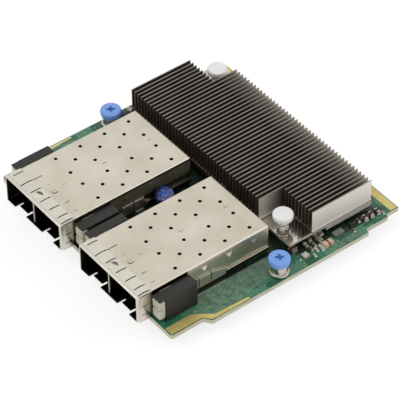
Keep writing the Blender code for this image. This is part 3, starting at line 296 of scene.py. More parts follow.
def folded_steel(name, painted_black_places, painted_shade_places=None):
    """The cage's steel, painted black as painted reflection or painted shade, and painted darker on the
    sheltered walls as painted shade.
    """
    paint = Paint(name)
    cloud = paint.noise(84.0, 3.0)
    fine = paint.noise(2800.0)
    colour = paint.cloudy(cloud, (198, 190, 173), (214, 207, 192))
    # painted black, for painted reflections of black parts and for painted shade
    black = paint.cloudy(cloud, (34, 33, 28), (50, 48, 41))
    metallic = 1.0
    x, y, z = paint.axes()
    if painted_shade_places is not None:
        mask = painted_shade_places(x, y, z)
        # painted shade on the sheltered walls: darker and less metallic
        colour = paint.mix(mask, colour, paint.cloudy(cloud, (92, 89, 72), (118, 114, 95)))
        metallic = mask * -0.7 + 1.0
    paint.set("Base Color", paint.mix(painted_black_places(x, y, z), colour, black))
    paint.set("Metallic", metallic)
    paint.rough(fine, 0.30, 0.40)
    paint.bump(fine, 0.1)


def beside_holders(x, y, z):
    """Painted black: the walls beside the light-pipe holders, as their painted reflection, and the gap's
    upper rim and foot, as painted shade.
    """
    facing = abs(x) < GAP_HALF
    beside = (z < WALL_TOP) * y.within(5.5, 18.8) * ((abs(x) > 33.3) | facing)
    return beside | facing * z.within(9.4, WALL_TOP) | facing * (z < 4.9)


def between_cages(x, y, z):
    # painted shade on the walls that face each other in the gap between the cages
    return (z < WALL_TOP) * (abs(x) < GAP_HALF)


def floor_shade(x, y, z):
    """All of the floor that lies inside a cage, and its feet, painted black as painted shade."""
    inner = (abs(abs(x) - CAGE_X) < 14.0) * (z > 0.35)
    return inner | (y > 32.6) * (z < 2.1) | (z < 0.8)


def divider_shade(x, y, z):
    """All of a divider but the edge of one of its two sheets at the face, painted black as painted shade."""
    across = x.math("SIGN") * -CAGE_X + x
    return (y > 0.75) | (across > -0.12)


folded_steel("shell_steel", beside_holders, between_cages)
folded_steel("floor_steel", floor_shade)
folded_steel("divider_steel", divider_shade)
print("metals:", *METALS)

# %% [markdown]
# The heatsink is cut from extruded aluminium, so fine lines run along every fin. A noise texture
# that is stretched along Y draws them. Deep between the fins hardly any light comes back, so the
# colour there is painted darker as painted shade, with painted light towards the rear end and on
# the wall of the front notch. The place on the heatsink tells the fins' tops, the outer faces, the
# milled steps in the two corners, the band of the base and the painted shade under it apart.
# %% Heatsink aluminium
NOTCH = 14.9  # width of the front corner that is milled away
BENEATH = (48, 42, 38)  # in the shade of what lies above


def extruded_aluminium():
    paint = Paint("extruded_aluminium")
    lines = paint.noise(4000.0, 2.0, (1.0, 0.02, 1.0))
    cloud = paint.noise(90.0, 3.0)
    light = paint.cloudy(cloud, (222, 216, 208), (234, 228, 220))
    dark = paint.cloudy(cloud, (74, 64, 56), (88, 79, 70))
    tops = paint.cloudy(cloud, (140, 135, 127), (158, 153, 145))
    band = paint.cloudy(cloud, (188, 181, 172), (204, 197, 188))
    milled = paint.cloudy(cloud, (178, 169, 158), (206, 198, 188))
    x, y, z = paint.axes()
    low, high = box_mm("heatsink")
    notch = high.x - NOTCH

    # the base ends at 3.8 in the milled corners and at 4.1 under the fins
    inner = x.within(low.x + 0.35, high.x - 0.3)
    outer = inner * -1.0 + 1.0
    between = inner * z.within(4.12, high.z - 0.06)
    crest = z > high.z - 0.06
    base = z < 3.8
    plate = z.within(3.8, 3.9)
    step = z.within(3.86, 4.09)
    corners = (x > notch + 0.1) | (x < low.x + 13.9)
    front = (y < low.y + 0.1) * (x < notch)
    shaded = (z < low.z + 0.45) | front * (z < 3.86)
    # painted light on the front notch's wall, fading towards the rear
    flank = x.within(notch - 0.3, notch + 0.3) * paint.fade(y, low.y + 0.5, low.y + 8.8, 1.15, 0.0)

    # painted shade between the fins, made lighter towards the rear end as painted light
    deep = paint.mix(paint.fade(y, 77.5, 86.5, 0.0, 0.75), dark, (196, 191, 183))
    deep = paint.mix(flank, deep, (206, 199, 190))
    colour = light
    for mask, other in (
        (between, deep), (crest, tops), (plate * corners, milled), (step * corners, BENEATH),
        (step * front, (224, 218, 210)), (base, band), (shaded, BENEATH),
    ):
        colour = paint.mix(mask, colour, other)
    paint.set("Base Color", colour)
    paint.set("Roughness", plate * -0.26 + paint.fade(lines, 0.3, 0.7, 0.30, 0.46))
    paint.set("Metallic", (between | outer | base) * -0.65 + 1.0)
    paint.bump(lines, 0.25)


extruded_aluminium()
print("heatsink finish ready")

# %% [markdown]
# Plastics reflect little and have their own colour. The knobs are a clear mid blue, the push pins
# a milky white, the light-pipe holders and the connectors a soft black. The ceramic parts are
# small and matt. The light pipes are clear acrylic with a slightly frosted face, so part of the
# light goes through them.
# %% Plastics and ceramics
PLASTICS = {  # dark and light colour, roughness, metallic, grain, relief
    "blue_plastic": ((118, 162, 234), (130, 174, 247), (0.38, 0.5), 0.0, 1500.0),
    # painted shade: the deep faces of the knob's cross recess get this darker blue
    "painted_shade_recess": ((92, 132, 204), (104, 146, 218), (0.4, 0.5), 0.0, 1500.0),
    "white_plastic": ((238, 238, 239), (246, 246, 247), (0.4, 0.5), 0.0, 900.0),
    "black_plastic": ((15, 14, 12), (25, 24, 21), (0.45, 0.6), 0.0, 2500.0, 0.3),
    # painted shade, laid as a thin sheet over the holders' slots
    "painted_slot_shade": ((6, 5, 4), (10, 9, 8), (0.8, 0.9), 0.0, 2500.0),
    "ivory_plastic": ((196, 190, 170), (214, 208, 190), (0.4, 0.5), 0.0, 900.0),
    "pad_grey": ((120, 124, 130), (140, 144, 150), (0.7, 0.85), 0.0, 900.0, 0.4),
    "chip_black": ((34, 34, 36), (48, 48, 50), (0.5, 0.62), 0.0, 3000.0, 0.3),
    "chip_grey": ((110, 112, 108), (132, 134, 128), (0.5, 0.62), 0.0, 3000.0),
    "ceramic_brown": ((96, 66, 48), (122, 88, 66)),
    "dark_ceramic": ((38, 34, 28), (62, 56, 48)),
    "ceramic_tan": ((176, 150, 124), (198, 174, 148)),
    "ceramic_red": ((120, 52, 38), (146, 72, 54)),
    "ceramic_pink": ((206, 176, 156), (228, 202, 184), (0.4, 0.55)),
    "ceramic_pale": ((176, 168, 160), (206, 198, 190), (0.4, 0.55)),
    "ceramic_olive": ((112, 114, 88), (146, 146, 118)),
}
for name, values in PLASTICS.items():
    finish(name, *values)


def clear_acrylic():
    paint = Paint("clear_acrylic")
    cloud = paint.noise(420.0)
    paint.set("Base Color", paint.cloudy(cloud, (196, 191, 170), (222, 219, 204)))
    paint.set("Transmission Weight", 0.15)
    paint.set("IOR", 1.49)
    paint.rough(cloud, 0.16, 0.26)


def shaded_blue():
    """The middle knob between the cages, with painted shade: darker, painted black on one flank, and a few
    painted highlights.
    """
    paint = Paint("shaded_blue")
    cloud = paint.noise(700.0)
    blue = paint.ramp(cloud, (0.38, (6, 14, 62)), (0.62, (38, 62, 160)))
    # painted highlights: a few bright specks
    painted_glint = paint.noise(1300.0, 1.0) > 0.66
    blue = paint.mix(painted_glint * 0.5, blue, (180, 190, 228))
    x, y, z = paint.axes()
    # painted shade: one flank is painted black and loses its specular gloss
    across = (y - THUMBS["middle"][1]) * 0.8 + x * 0.6
    lit = paint.fade(across, -3.4, -0.4)
    paint.set("Base Color", paint.mix(lit, (8, 10, 24), blue))
    paint.set("Specular IOR Level", lit)
    paint.rough(cloud, 0.3, 0.45)


clear_acrylic()
shaded_blue()
print("plastics and ceramics:", *PLASTICS)

# %% [markdown]
# A circuit board is glass and resin with copper on it under green varnish. Where copper lies
# below, the varnish looks lighter; bare laminate is darker. A few large soft cells stand for the
# copper areas, thin bands for bundles of tracks and small dots for plated holes. The cut edge
# shows the pale laminate, and the height tells the edge from the two faces.
# %% Circuit board
def printed_board():
    paint = Paint("printed_board")
    x, y, z = paint.axes()
    half = (BOARD_TOP - BOARD_BOTTOM) / MM / 2
    face = abs(z + half) > half - 0.03

    colour = paint.ramp(
        paint.texture("Voronoi", "Color", distance="CHEBYCHEV", Scale=140.0),
        (0.32, (20, 88, 62)), (0.5, (34, 108, 80)), (0.62, (74, 130, 102)),
    )
    diagonal = paint.mapped(Rotation=(0.0, 0.0, math.radians(45.0)))
    tracks = paint.texture("Wave", "Fac", diagonal, bands_direction="X", Scale=420.0, Distortion=0.0)
    bundle = (tracks > 0.72) * (paint.noise(160.0, 1.0) > 0.56) * 0.55
    colour = paint.mix(bundle, colour, (84, 140, 112))
    colour = paint.mix(paint.dots(620.0, 0.17) * 0.6, colour, (150, 176, 150))

    layers = paint.noise(900.0, 3.0, (0.2, 0.2, 3.0))
    glass = paint.cloudy(layers, (186, 182, 156), (218, 213, 188))
    paint.set("Base Color", paint.mix(face, glass, colour))
    gloss = paint.noise(2200.0)
    paint.rough(gloss, 0.26, 0.40)
    paint.bump(gloss * 0.3 + bundle, 0.2, 0.02)


def varnish(name, dark, light, speck, radius):
    """Varnish over one plain area of copper, or painted dark as painted shade, with a few pale specks."""
    paint = Paint(name)
    cloud = paint.noise(520.0, 4.0)
    base = paint.ramp(cloud, (0.35, dark), (0.65, light))
    paint.set("Base Color", paint.mix(paint.dots(900.0, radius) * 0.5, base, speck))
    paint.rough(cloud, 0.28, 0.42)


printed_board()
varnish("copper_varnish", (58, 100, 78), (100, 134, 110), (172, 190, 172), 0.2)
# painted shade: the board in the shade of the cages and the heatsink
varnish("painted_shade_varnish", (13, 28, 20), (30, 46, 33), (96, 98, 78), 0.16)
print("board finishes ready")

# %% [markdown]
# The photograph has a pure white ground. The camera and every mirror-like surface see the world
# as plain white through Light Path, while the light that falls on the card comes from a softer,
# dimmer sky and from two large lamps. The floor is drawn brighter for the camera than it is lit,
# but a part of it is still lit, so a faint shadow stays under the card.
# %% World, floor and lamps
def seen_directly(tree):
    path = node(tree, "ShaderNodeLightPath").outputs
    camera_ray, glossy, through = [
        Field(tree, path[f"Is {kind} Ray"]) for kind in ("Camera", "Glossy", "Transmission")
    ]
    return (camera_ray | glossy | through).socket


def by_ray(tree, for_light, for_eye, end):
    """One shader lights the card and another is seen directly."""
    choose = node(tree, "ShaderNodeMixShader")
    tree.links.new(seen_directly(tree), choose.inputs["Fac"])
    tree.links.new(for_light, choose.inputs[1])
    tree.links.new(for_eye, choose.inputs[2])
    tree.links.new(choose.outputs["Shader"], tree.nodes[end].inputs["Surface"])


world = bpy.data.worlds.new("studio")
bpy.context.scene.world = world
world.use_nodes = True
tree = world.node_tree
sky = node(tree, "ShaderNodeBackground", Color=(1.0, 0.99, 0.97, 1.0), Strength=0.7)
plain = node(tree, "ShaderNodeBackground", Color=(1.0, 1.0, 1.0, 1.0), Strength=1.0)
by_ray(tree, sky.outputs["Background"], plain.outputs["Background"], "World Output")

floor_material = bpy.data.materials.new("floor_white")
floor_material.use_nodes = True
tree = floor_material.node_tree
matt = node(tree, "ShaderNodeBsdfDiffuse", Color=(0.82, 0.82, 0.82, 1.0))
half_matt = node(tree, "ShaderNodeBsdfDiffuse", Color=(0.3, 0.3, 0.3, 1.0))
glow = node(tree, "ShaderNodeEmission", Strength=0.78)
lit = node(tree, "ShaderNodeAddShader")
tree.links.new(half_matt.outputs["BSDF"], lit.inputs[0])
tree.links.new(glow.outputs["Emission"], lit.inputs[1])
by_ray(tree, matt.outputs["BSDF"], lit.outputs["Shader"], "Material Output")


def as_object(name, work):
    mesh = bpy.data.meshes.new(name)
    work.to_mesh(mesh)
    work.free()
    made = bpy.data.objects.new(name, mesh)
    bpy.context.scene.collection.objects.link(made)
    return made


work = bmesh.new()
bmesh.ops.create_grid(work, x_segments=1, y_segments=1, size=3.0)
floor = as_object("floor", work)
floor.data.materials.append(floor_material)


def lamp(name, place, size, power):
    light = bpy.data.lights.new(name, "AREA")
    light.size = size
    light.energy = power
    holder = bpy.data.objects.new(name, light)
    holder.location = place
    holder.rotation_euler = (TARGET - Vector(place)).to_track_quat("-Z", "Y").to_euler()
    bpy.context.scene.collection.objects.link(holder)


bpy.context.scene.view_settings.view_transform = "Standard"
lamp("key_lamp", (-0.4, -0.9, 1.2), 0.8, 3.6)
lamp("rear_lamp", (0.7, 1.1, 1.0), 0.8, 3.0)
print("stage ready")

# %% [markdown]
# New pieces are built in a bmesh, Blender's editable mesh. Four shapes cover nearly everything on
# this card: a block with softened edges, a shape turned from a profile, a flat outline raised to a
# thickness, and a sheet that gets its thickness from a Solidify modifier. The last two helpers put
# a finished mesh in the scene, with the body it moves with and the solids it stands for, and give
# a solid that stays its finish.
# %% Helpers for shapes
def mm(x, y, z):
    return Vector((x, y, z)) * MM


def turn(angle, axis):
    return Matrix.Rotation(math.radians(angle), 4, axis)


def move(work, matrix):
    bmesh.ops.transform(work, matrix=matrix, verts=work.verts)


def outward(work):
    bmesh.ops.recalc_face_normals(work, faces=work.faces)


def bevel(work, edges, offset, steps, clamp=False):
    bmesh.ops.bevel(
        work, geom=edges, offset=offset * MM, offset_type="OFFSET", segments=steps, profile=0.5,
        affect="EDGES", clamp_overlap=clamp, material=-1,
    )


def block(work, corner, other, finish=0, soften=0.0, steps=2):
    made = bmesh.ops.create_cube(work, size=1.0)["verts"]
    bmesh.ops.scale(work, vec=[abs(size) for size in other - corner], verts=made)
    bmesh.ops.translate(work, vec=(corner + other) / 2, verts=made)
    for face in {face for vert in made for face in vert.link_faces}:
        face.material_index = finish
    if soften:
        bevel(work, list({edge for vert in made for edge in vert.link_edges}), soften, steps, True)
    return made


def turned(profile, centre, steps=32):
    """A bmesh spun from (radius, height) points in millimetres about a vertical axis."""
    work = bmesh.new()
    verts = [work.verts.new(centre + mm(radius, 0.0, height)) for radius, height in profile]
    edges = [work.edges.new(pair) for pair in zip(verts, verts[1:])]
    bmesh.ops.spin(
        work, geom=verts + edges, cent=centre, axis=(0.0, 0.0, 1.0), dvec=(0.0, 0.0, 0.0),
        angle=2 * math.pi, steps=steps, use_merge=True, use_duplicate=False,
    )
    bmesh.ops.remove_doubles(work, verts=work.verts, dist=0.001 * MM)
    outward(work)
    return work


def raised(work, points, by, finish=0):
    """A flat outline, raised to a thickness along a vector."""
    face = work.faces.new([work.verts.new(point) for point in points])
    face.material_index = finish
    grown = bmesh.ops.extrude_face_region(work, geom=[face])["geom"]
    verts = [item for item in grown if isinstance(item, bmesh.types.BMVert)]
    bmesh.ops.translate(work, vec=by, verts=verts)
    for item in grown:
        if isinstance(item, bmesh.types.BMFace):
            item.material_index = finish


def add_to(work, other):
    """Moves the faces of another bmesh into this one."""
    mesh = bpy.data.meshes.new("moved")
    other.to_mesh(mesh)
    other.free()
    work.from_mesh(mesh)
    bpy.data.meshes.remove(mesh)


def shaped(work, thickness=0.0, cutters=None):
    """The bmesh after a Solidify and an exact Boolean cut, whichever is asked for."""
    body = as_object("shaped", work)
    if thickness:
        solid = body.modifiers.new("thickness", "SOLIDIFY")
        solid.thickness = thickness * MM
        solid.offset = -1.0
        solid.use_even_offset = True
    tool = None
    if cutters is not None:
        tool = as_object("tool", cutters)
        cut = body.modifiers.new("cut", "BOOLEAN")
        cut.operation = "DIFFERENCE"
        cut.solver = "EXACT"
        cut.use_self = True
        cut.object = tool
    graph = bpy.context.evaluated_depsgraph_get()
    result = bmesh.new()
    result.from_mesh(bpy.data.meshes.new_from_object(body.evaluated_get(graph)))
    bpy.data.objects.remove(body)
    if tool is not None:
        bpy.data.objects.remove(tool)
    return result


def show(name, work, finish_names, stands_for=None, body="card", angle=32.0, mend=True):
    if mend:
        outward(work)
    piece = as_object(name, work)
    for finish_name in finish_names:
        piece.data.materials.append(finishes[finish_name])
    piece.data.shade_smooth()
    piece.data.set_sharp_from_angle(angle=math.radians(angle))
    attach(piece, body)
    if stands_for:
        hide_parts(stands_for)
    print(name, "faces:", len(piece.data.polygons))


def dress(name, finish_name):
    for place in nodes[name].material_slots:
        place.material = finishes[finish_name]


print("shape helpers ready")

# %% [markdown]
# ## Cages
# A cage is folded from one sheet 0.3 mm thick: a top, two sides and a rear wall, with rounded
# folds and rows of round holes for the air. It starts as a box that loses its open faces, gets
# its folds bevelled and then its thickness. The holes, the locking tabs' slots and the stamped
# marks are cut through it at the end. On each side three small triangles are lanced and bent out.
# %% Cage shells
HALF = 14.2
LENGTH = 49.4
TOP = 10.5
FOOT = 1.15
SHEET = 0.3
VENT_ROWS = ((-3.95, 16.5, 4), (0.0, 21.15, 3), (3.95, 16.5, 4))  # across, first hole, how many
VENT_PITCH = 9.3
VENT_RADIUS = 0.62
SLITS = (  # across, start, end
    (-12.5, 1.7, 5.5), (-7.5, 0.9, 9.0), (-3.0, 1.5, 5.4), (2.15, 1.5, 5.4), (6.7, 1.5, 5.4),
    (11.1, 1.5, 5.4), (13.75, 0.9, 5.0),
)
STAMPS = (  # x and y of two corners, how deep
    *[(x - 0.15, start, x + 0.15, end, 1.0) for x, start, end in SLITS],
    (-0.37, 26.55, -0.27, 28.05, 0.1), (-0.37, 43.55, -0.27, 45.05, 0.1),
    (0.0, 6.95, 0.1, 8.6, 1.0), (1.25, 6.95, 1.55, 8.6, 1.0), (0.3, 6.9, 1.5, 7.15, 1.01),
    (-2.97, 7.6, -2.83, 8.6, 1.0), (-0.16, 11.4, -0.04, 12.4, 1.0), (6.77, 7.3, 7.03, 8.9, 1.0),
    (11.42, 7.2, 11.58, 8.6, 1.0),
)
LANCES = (24.9, 34.2, 43.5)


def open_box(low, high, open_normals, radius):
    """A box without the faces that look the given ways, its folds rounded."""
    work = bmesh.new()
    block(work, low, high)
    work.normal_update()
    gone = [f for f in work.faces if any(f.normal.dot(Vector(n)) > 0.9 for n in open_normals)]
    bmesh.ops.delete(work, geom=gone, context="FACES")
    bevel(work, [edge for edge in work.edges if len(edge.link_faces) == 2], radius, 4)
    return work


def cage_cutters(middle):
    cutters = bmesh.new()
    for port in PORTS:
        for across, first, count in VENT_ROWS:
            for row in range(count):
                spot = at(middle + port + across, first + row * VENT_PITCH, TOP)
                bmesh.ops.create_cone(
                    cutters, cap_ends=True, segments=18, radius1=VENT_RADIUS * MM,
                    radius2=VENT_RADIUS * MM, depth=2.0 * MM, matrix=Matrix.Translation(spot),
                )
    for x0, y0, x1, y1, deep in STAMPS:
        above = TOP + max(deep, 1.0)
        block(cutters, at(middle + x0, y0, TOP - deep), at(middle + x1, y1, above))
    for sign in (-1, 1):
        for y in LANCES:
            triangle = ((-1.2, 8.5), (1.2, 8.5), (0.0, 6.8))
            points = [at(middle + sign * HALF - 1.0, y + dy, z) for dy, z in triangle]
            raised(cutters, points, mm(2.0, 0.0, 0.0))
    outward(cutters)
    return cutters


def cage_shell(side):
    middle = CAGES[side]
    low = at(middle - HALF, 0.0, FOOT)
    high = at(middle + HALF, LENGTH, TOP)
    work = open_box(low, high, ((0, 0, -1), (0, -1, 0)), 0.5)
    shell = shaped(work, SHEET, cage_cutters(middle))
    inset = SHEET - 0.02
    # faces inside the cage get the second finish, painted dark as painted shade
    for face in shell.faces:
        spot = (face.calc_center_median() - at(middle, 0.0, 0.0)) / MM
        inside = abs(spot.x) < HALF - inset and spot.z < TOP - inset and spot.y < LENGTH - inset
        face.material_index = 1 if inside else 0
    for sign in (-1, 1):
        for y in LANCES:
            bent = ((-1.15, 8.5, -0.1), (1.15, 8.5, -0.1), (0.0, 6.9, 0.3))
            points = [at(middle + sign * (HALF + out) - 0.08, y + dy, z) for dy, z, out in bent]
            raised(shell, points, mm(0.16, 0.0, 0.0))
    block(shell, at(middle + 0.12, 7.2, TOP - 0.28), at(middle + 1.2, 8.6, TOP + 0.02), soften=0.05)
    return shell


for side in CAGES:
    show(
        f"cage_shell_sheet_{side}", cage_shell(side), ["shell_steel", "painted_shade_inside"],
        f"cage_shell_{side}",
    )

# %% [markdown]
# Round the port faces sits a collar of springy sheet, slit into fingers that bow outwards and
# press against the frame that the card is pushed into. Each side of it is a flat strip: it is cut
# across with bisect where a slit begins or ends, the slits are deleted, the rows between the root
# and the tips are lifted along half a sine wave, and then the strip gets its thickness. A ring
# with rounded corners joins the four strips at the front. Each collar has one round dimple, whose
# far half is painted dark as painted shade.
# %% Spring collars
COLLAR_SHEET = 0.14
COLLAR_DEPTH = 5.5
SIDE_DEPTH = 4.75
RING_DEPTH = 0.8  # the strips start here, behind the ring
SIDE_MIDDLE = 5.2
WINDOW = 3.05  # half the width of the gap below each port
DIMPLE = (
    (0.0, 0.48), (0.4, 0.48), (0.62, 0.51), (1.0, 0.56), (1.25, 0.54), (1.42, 0.42), (1.45, 0.1),
)


def finger_strip(width, depth, slits, bow, rows=12):
    """A strip in its own X (along) and Y (depth), with slits (x, start, end, half) and bowed fingers."""
    work = bmesh.new()
    bmesh.ops.create_grid(work, x_segments=1, y_segments=1, size=0.5)
    bmesh.ops.translate(work, vec=(0.0, 0.5, 0.0), verts=work.verts)
    bmesh.ops.scale(work, vec=(width * MM, depth * MM, 1.0), verts=work.verts)

    def slice_at(x, y, normal):
        geom = [*work.verts, *work.edges, *work.faces]
        bmesh.ops.bisect_plane(work, geom=geom, plane_co=(x * MM, y * MM, 0.0), plane_no=normal)

    for x, start, end, half in slits:
        for edge in (x - half, x + half):
            slice_at(edge, 0.0, (1.0, 0.0, 0.0))
        for y in (start, end):
            if y < depth:
                slice_at(0.0, y, (0.0, 1.0, 0.0))
    slice_at(0.0, RING_DEPTH, (0.0, 1.0, 0.0))
    for row in range(2, rows):
        slice_at(0.0, depth * row / rows, (0.0, 1.0, 0.0))
    gone = []
    for face in work.faces:
        spot = face.calc_center_median() / MM
        slit = any(abs(spot.x - x) < half and start < spot.y < end for x, start, end, half in slits)
        if slit or spot.y < RING_DEPTH:
            gone.append(face)
    bmesh.ops.delete(work, geom=gone, context="FACES")
    root = 1.0
    for vert in work.verts:
        y = vert.co.y / MM
        if y > root:
            vert.co.z = bow * MM * math.sin(math.pi * (y - root) / (depth - root)) ** 1.2
    return work


def spring_collar(side):
    middle = CAGES[side]
    half = HALF + 0.3
    top = TOP + 0.17
    ring = open_box(at(middle - half, -0.1, 0.35), at(middle + half, 0.85, top), ((0, 1, 0),), 0.4)
    windows = bmesh.new()
    block(windows, at(middle - 13.95, -1.0, 0.75), at(middle + 13.95, 0.3, 10.2))
    for port in PORTS:
        x = middle + port
        block(windows, at(x - WINDOW, -1.0, -0.6), at(x + WINDOW, 3.0, 0.8))
    collar = shaped(ring, COLLAR_SHEET, windows)

    top_slits = [(x, start, 9.0, 0.2) for x, start, _ in SLITS]
    side_slits = [(z - SIDE_MIDDLE, 1.6, 4.1, 0.16) for z in (6.25, 2.8)]
    floor_slits = [(port, -1.0, 3.0, WINDOW) for port in PORTS]
    strips = [(2 * half - 0.8, COLLAR_DEPTH, top_slits, 0.22, Matrix.Translation(at(middle, 0.0, top)))]
    for sign in (1, -1):
        place = Matrix.Translation(at(middle + sign * half, 0.0, SIDE_MIDDLE))
        place = place @ turn(90 * sign, "Y") @ Matrix.Scale(-sign, 4, (1, 0, 0))
        strips.append((TOP - 0.6, SIDE_DEPTH, side_slits, 0.18, place))
    upside_down = Matrix.Translation(at(middle, 0.0, 0.35)) @ Matrix.Scale(-1, 4, (0, 0, 1))
    strips.append((2 * half - 1.2, SIDE_DEPTH, floor_slits, 0.0, upside_down))
    for width, depth, slits, bow, matrix in strips:
        solid = shaped(finger_strip(width, depth, slits, bow), COLLAR_SHEET)
        move(solid, matrix)
        outward(solid)
        add_to(collar, solid)

    spot = at(middle - 0.9, 2.9, TOP)
    dimple = turned(DIMPLE, spot, steps=24)
    for face in dimple.faces:
        out = (face.calc_center_median() - spot) / MM
        # painted shade on the dimple's far half
        face.material_index = 1 if 0.94 * out.y - 0.35 * out.x > 0.2 else 0
    add_to(collar, dimple)
    return collar


for side in CAGES:
    show(
        f"spring_collar_sheet_{side}", spring_collar(side), ["spring_steel", "painted_shade_dimple"],
        f"spring_collar_{side}", angle=50.0,
    )
    dress(f"cage_floor_{side}", "floor_steel")
    dress(f"port_divider_{side}", "divider_steel")

# %% [markdown]
# ## Screws and pins
# A captive thumbscrew is a blue moulded knob on a steel screw that floats in a silver ferrule. All
# of these are turned parts, so each is spun from half of its section. The knob's rim is fluted by
# pulling every other column of its side in a little, and its cross recess is cut with two tapered
# blocks. The spring is a small circle swept up a helix, which the spin operator does when it also
# rises at every step. Only the knob and its screw turn, so they ride on the screw's body, and the
# rest on the card.
# %% Thumbscrews
KNOB = (
    (0.0, 6.32), (1.6, 6.36), (2.5, 6.38), (2.95, 6.34), (3.22, 6.22), (3.38, 6.0), (3.44, 5.7),
    (3.42, 5.3), (3.32, 4.7), (3.2, 4.2), (3.05, 3.95), (2.75, 3.8), (2.3, 3.8), (2.3, 4.3),
    (0.0, 4.3),
)
FLUTES = 64
RECESS_TURN = 58.0
SCREW = (
    (0.0, 4.2), (2.2, 4.2), (2.2, 3.95), (1.05, 3.8), (1.05, -1.6), (1.25, -1.9), (1.25, -3.9),
    (0.9, -4.25), (0.0, -4.25),
)
THREAD = ((1.2, -4.1), (1.44, -3.93), (1.44, -3.87), (1.2, -3.7))
THREAD_TURNS = 4
THREAD_PITCH = 0.5
FERRULE = (
    (2.2, 3.7), (2.62, 3.7), (2.7, 3.6), (2.7, 1.25), (2.82, 1.12), (3.1, 1.06), (3.22, 0.94),
    (3.25, 0.8), (3.25, 0.25), (3.2, 0.16), (2.15, 0.15), (2.1, 0.0), (2.1, -1.5), (1.4, -1.55),
    (1.4, 0.55), (2.2, 0.6), (2.2, 3.7),
)


def knob(x, y):
    centre = at(x, y, 0.0)
    work = turned(KNOB, centre, steps=FLUTES)
    for vert in work.verts:
        out = Vector((vert.co.x - centre.x, vert.co.y - centre.y, 0.0))
        z = (vert.co.z - centre.z) / MM
        if out.length > 3.1 * MM and 4.0 < z < 6.1:
            column = math.atan2(out.y, out.x) / (2 * math.pi) * FLUTES
            if round(column) % 2:
                vert.co -= out.normalized() * 0.09 * MM
    cutters = bmesh.new()
    for angle in (RECESS_TURN, RECESS_TURN + 90.0):
        blade = bmesh.new()
        for vert in block(blade, mm(-2.0, -0.64, -1.0), mm(2.0, 0.64, 1.0)):
            if vert.co.z < 0:
                vert.co.x *= 0.45
                vert.co.y *= 0.5
        move(blade, Matrix.Translation(at(x, y, 6.45)) @ turn(angle, "Z"))
        add_to(cutters, blade)
    carved = shaped(work, cutters=cutters)
    # the deep faces of the recess get the darker blue, as painted shade
    for face in carved.faces:
        spot = (face.calc_center_median() - centre) / MM
        deep = Vector((spot.x, spot.y)).length < 1.9 and 5.2 < spot.z < 6.31
        face.material_index = 1 if deep else 0
    return carved


def helix(work, centre, face, rise, turns, steps):
    """Sweeps a face up so many turns of a helix about a vertical axis."""
    bmesh.ops.spin(
        work, geom=face, cent=centre, axis=(0.0, 0.0, 1.0), dvec=mm(0.0, 0.0, rise / steps),
        angle=2 * math.pi * turns, steps=steps, use_merge=False, use_duplicate=False,
    )


def screw(x, y):
    centre = at(x, y, 0.0)
    core = turned(SCREW, centre, steps=24)
    thread = bmesh.new()
    face = thread.faces.new([thread.verts.new(centre + mm(radius, 0.0, z)) for radius, z in THREAD])
    helix(thread, centre, [face], THREAD_PITCH * THREAD_TURNS, THREAD_TURNS, 16 * THREAD_TURNS)
    outward(thread)
    add_to(core, thread)
    return core


def coil(solid, x, y, radius, wire, turns, inset):
    """A spring of round wire as high as its solid, its two ends capped by the wire's section."""
    low, high = box_mm(solid)
    foot = low.z + inset
    work = bmesh.new()
    centre = at(x, y, 0.0)
    bmesh.ops.create_circle(work, cap_ends=True, segments=10, radius=wire / 2 * MM)
    move(work, Matrix.Translation(centre + mm(radius, 0.0, foot)) @ turn(90, "X"))
    helix(work, centre, list(work.faces), high.z - inset - foot, turns, int(turns * 20))
    return work


for side, (x, y) in THUMBS.items():
    body = f"screw_{side}"
    # the middle knob gets the blue with painted shade and painted highlights
    blue = "shaded_blue" if side == "middle" else "blue_plastic"
    show(f"knob_{side}", knob(x, y), [blue, "painted_shade_recess"],
         f"thumbscrew_knob_{side}", body)
    show(f"captive_screw_{side}", screw(x, y), ["bright_steel"], f"thumbscrew_{side}", body)
    show(f"ferrule_{side}", turned(FERRULE, at(x, y, 0.0), steps=48), ["bright_steel"],
         f"thumbscrew_ferrule_{side}")
    spring = f"thumbscrew_spring_{side}"
    show(f"lift_spring_{side}", coil(spring, x, y, 1.65, 0.34, 3.5, 0.18), ["wire_steel"],
         spring)

# %% [markdown]
# The heatsink is held by two plastic push pins. Each has a wide round cap, a coil spring that
# presses on the heatsink, and below the board a split barb, which is a turned shape with a slot
# cut through its end.
# %% Push pins
PUSH_PIN = (
    (0.0, 10.2), (2.5, 10.2), (2.9, 10.14), (3.15, 9.95), (3.25, 9.65), (3.25, 8.6), (3.17, 8.42),
    (3.0, 8.36), (1.2, 8.36), (1.2, -1.72), (1.85, -1.75), (1.9, -2.0), (1.9, -2.3), (0.65, -4.25),
    (0.0, -4.3),
)
for place, (x, y) in PUSH_PINS.items():
    split = bmesh.new()
    block(split, at(x - 0.3, y - 3.0, -6.0), at(x + 0.3, y + 3.0, -0.3))
    pin = shaped(turned(PUSH_PIN, at(x, y, 0.0), steps=48), cutters=split)
    show(f"heatsink_pin_{place}", pin, ["white_plastic"], f"push_pin_{place}")
    spring = f"push_pin_spring_{place}"
    show(f"pin_spring_{place}", coil(spring, x, y, 1.6, 0.78, 3.2, 0.4), ["wire_steel"],
         spring)

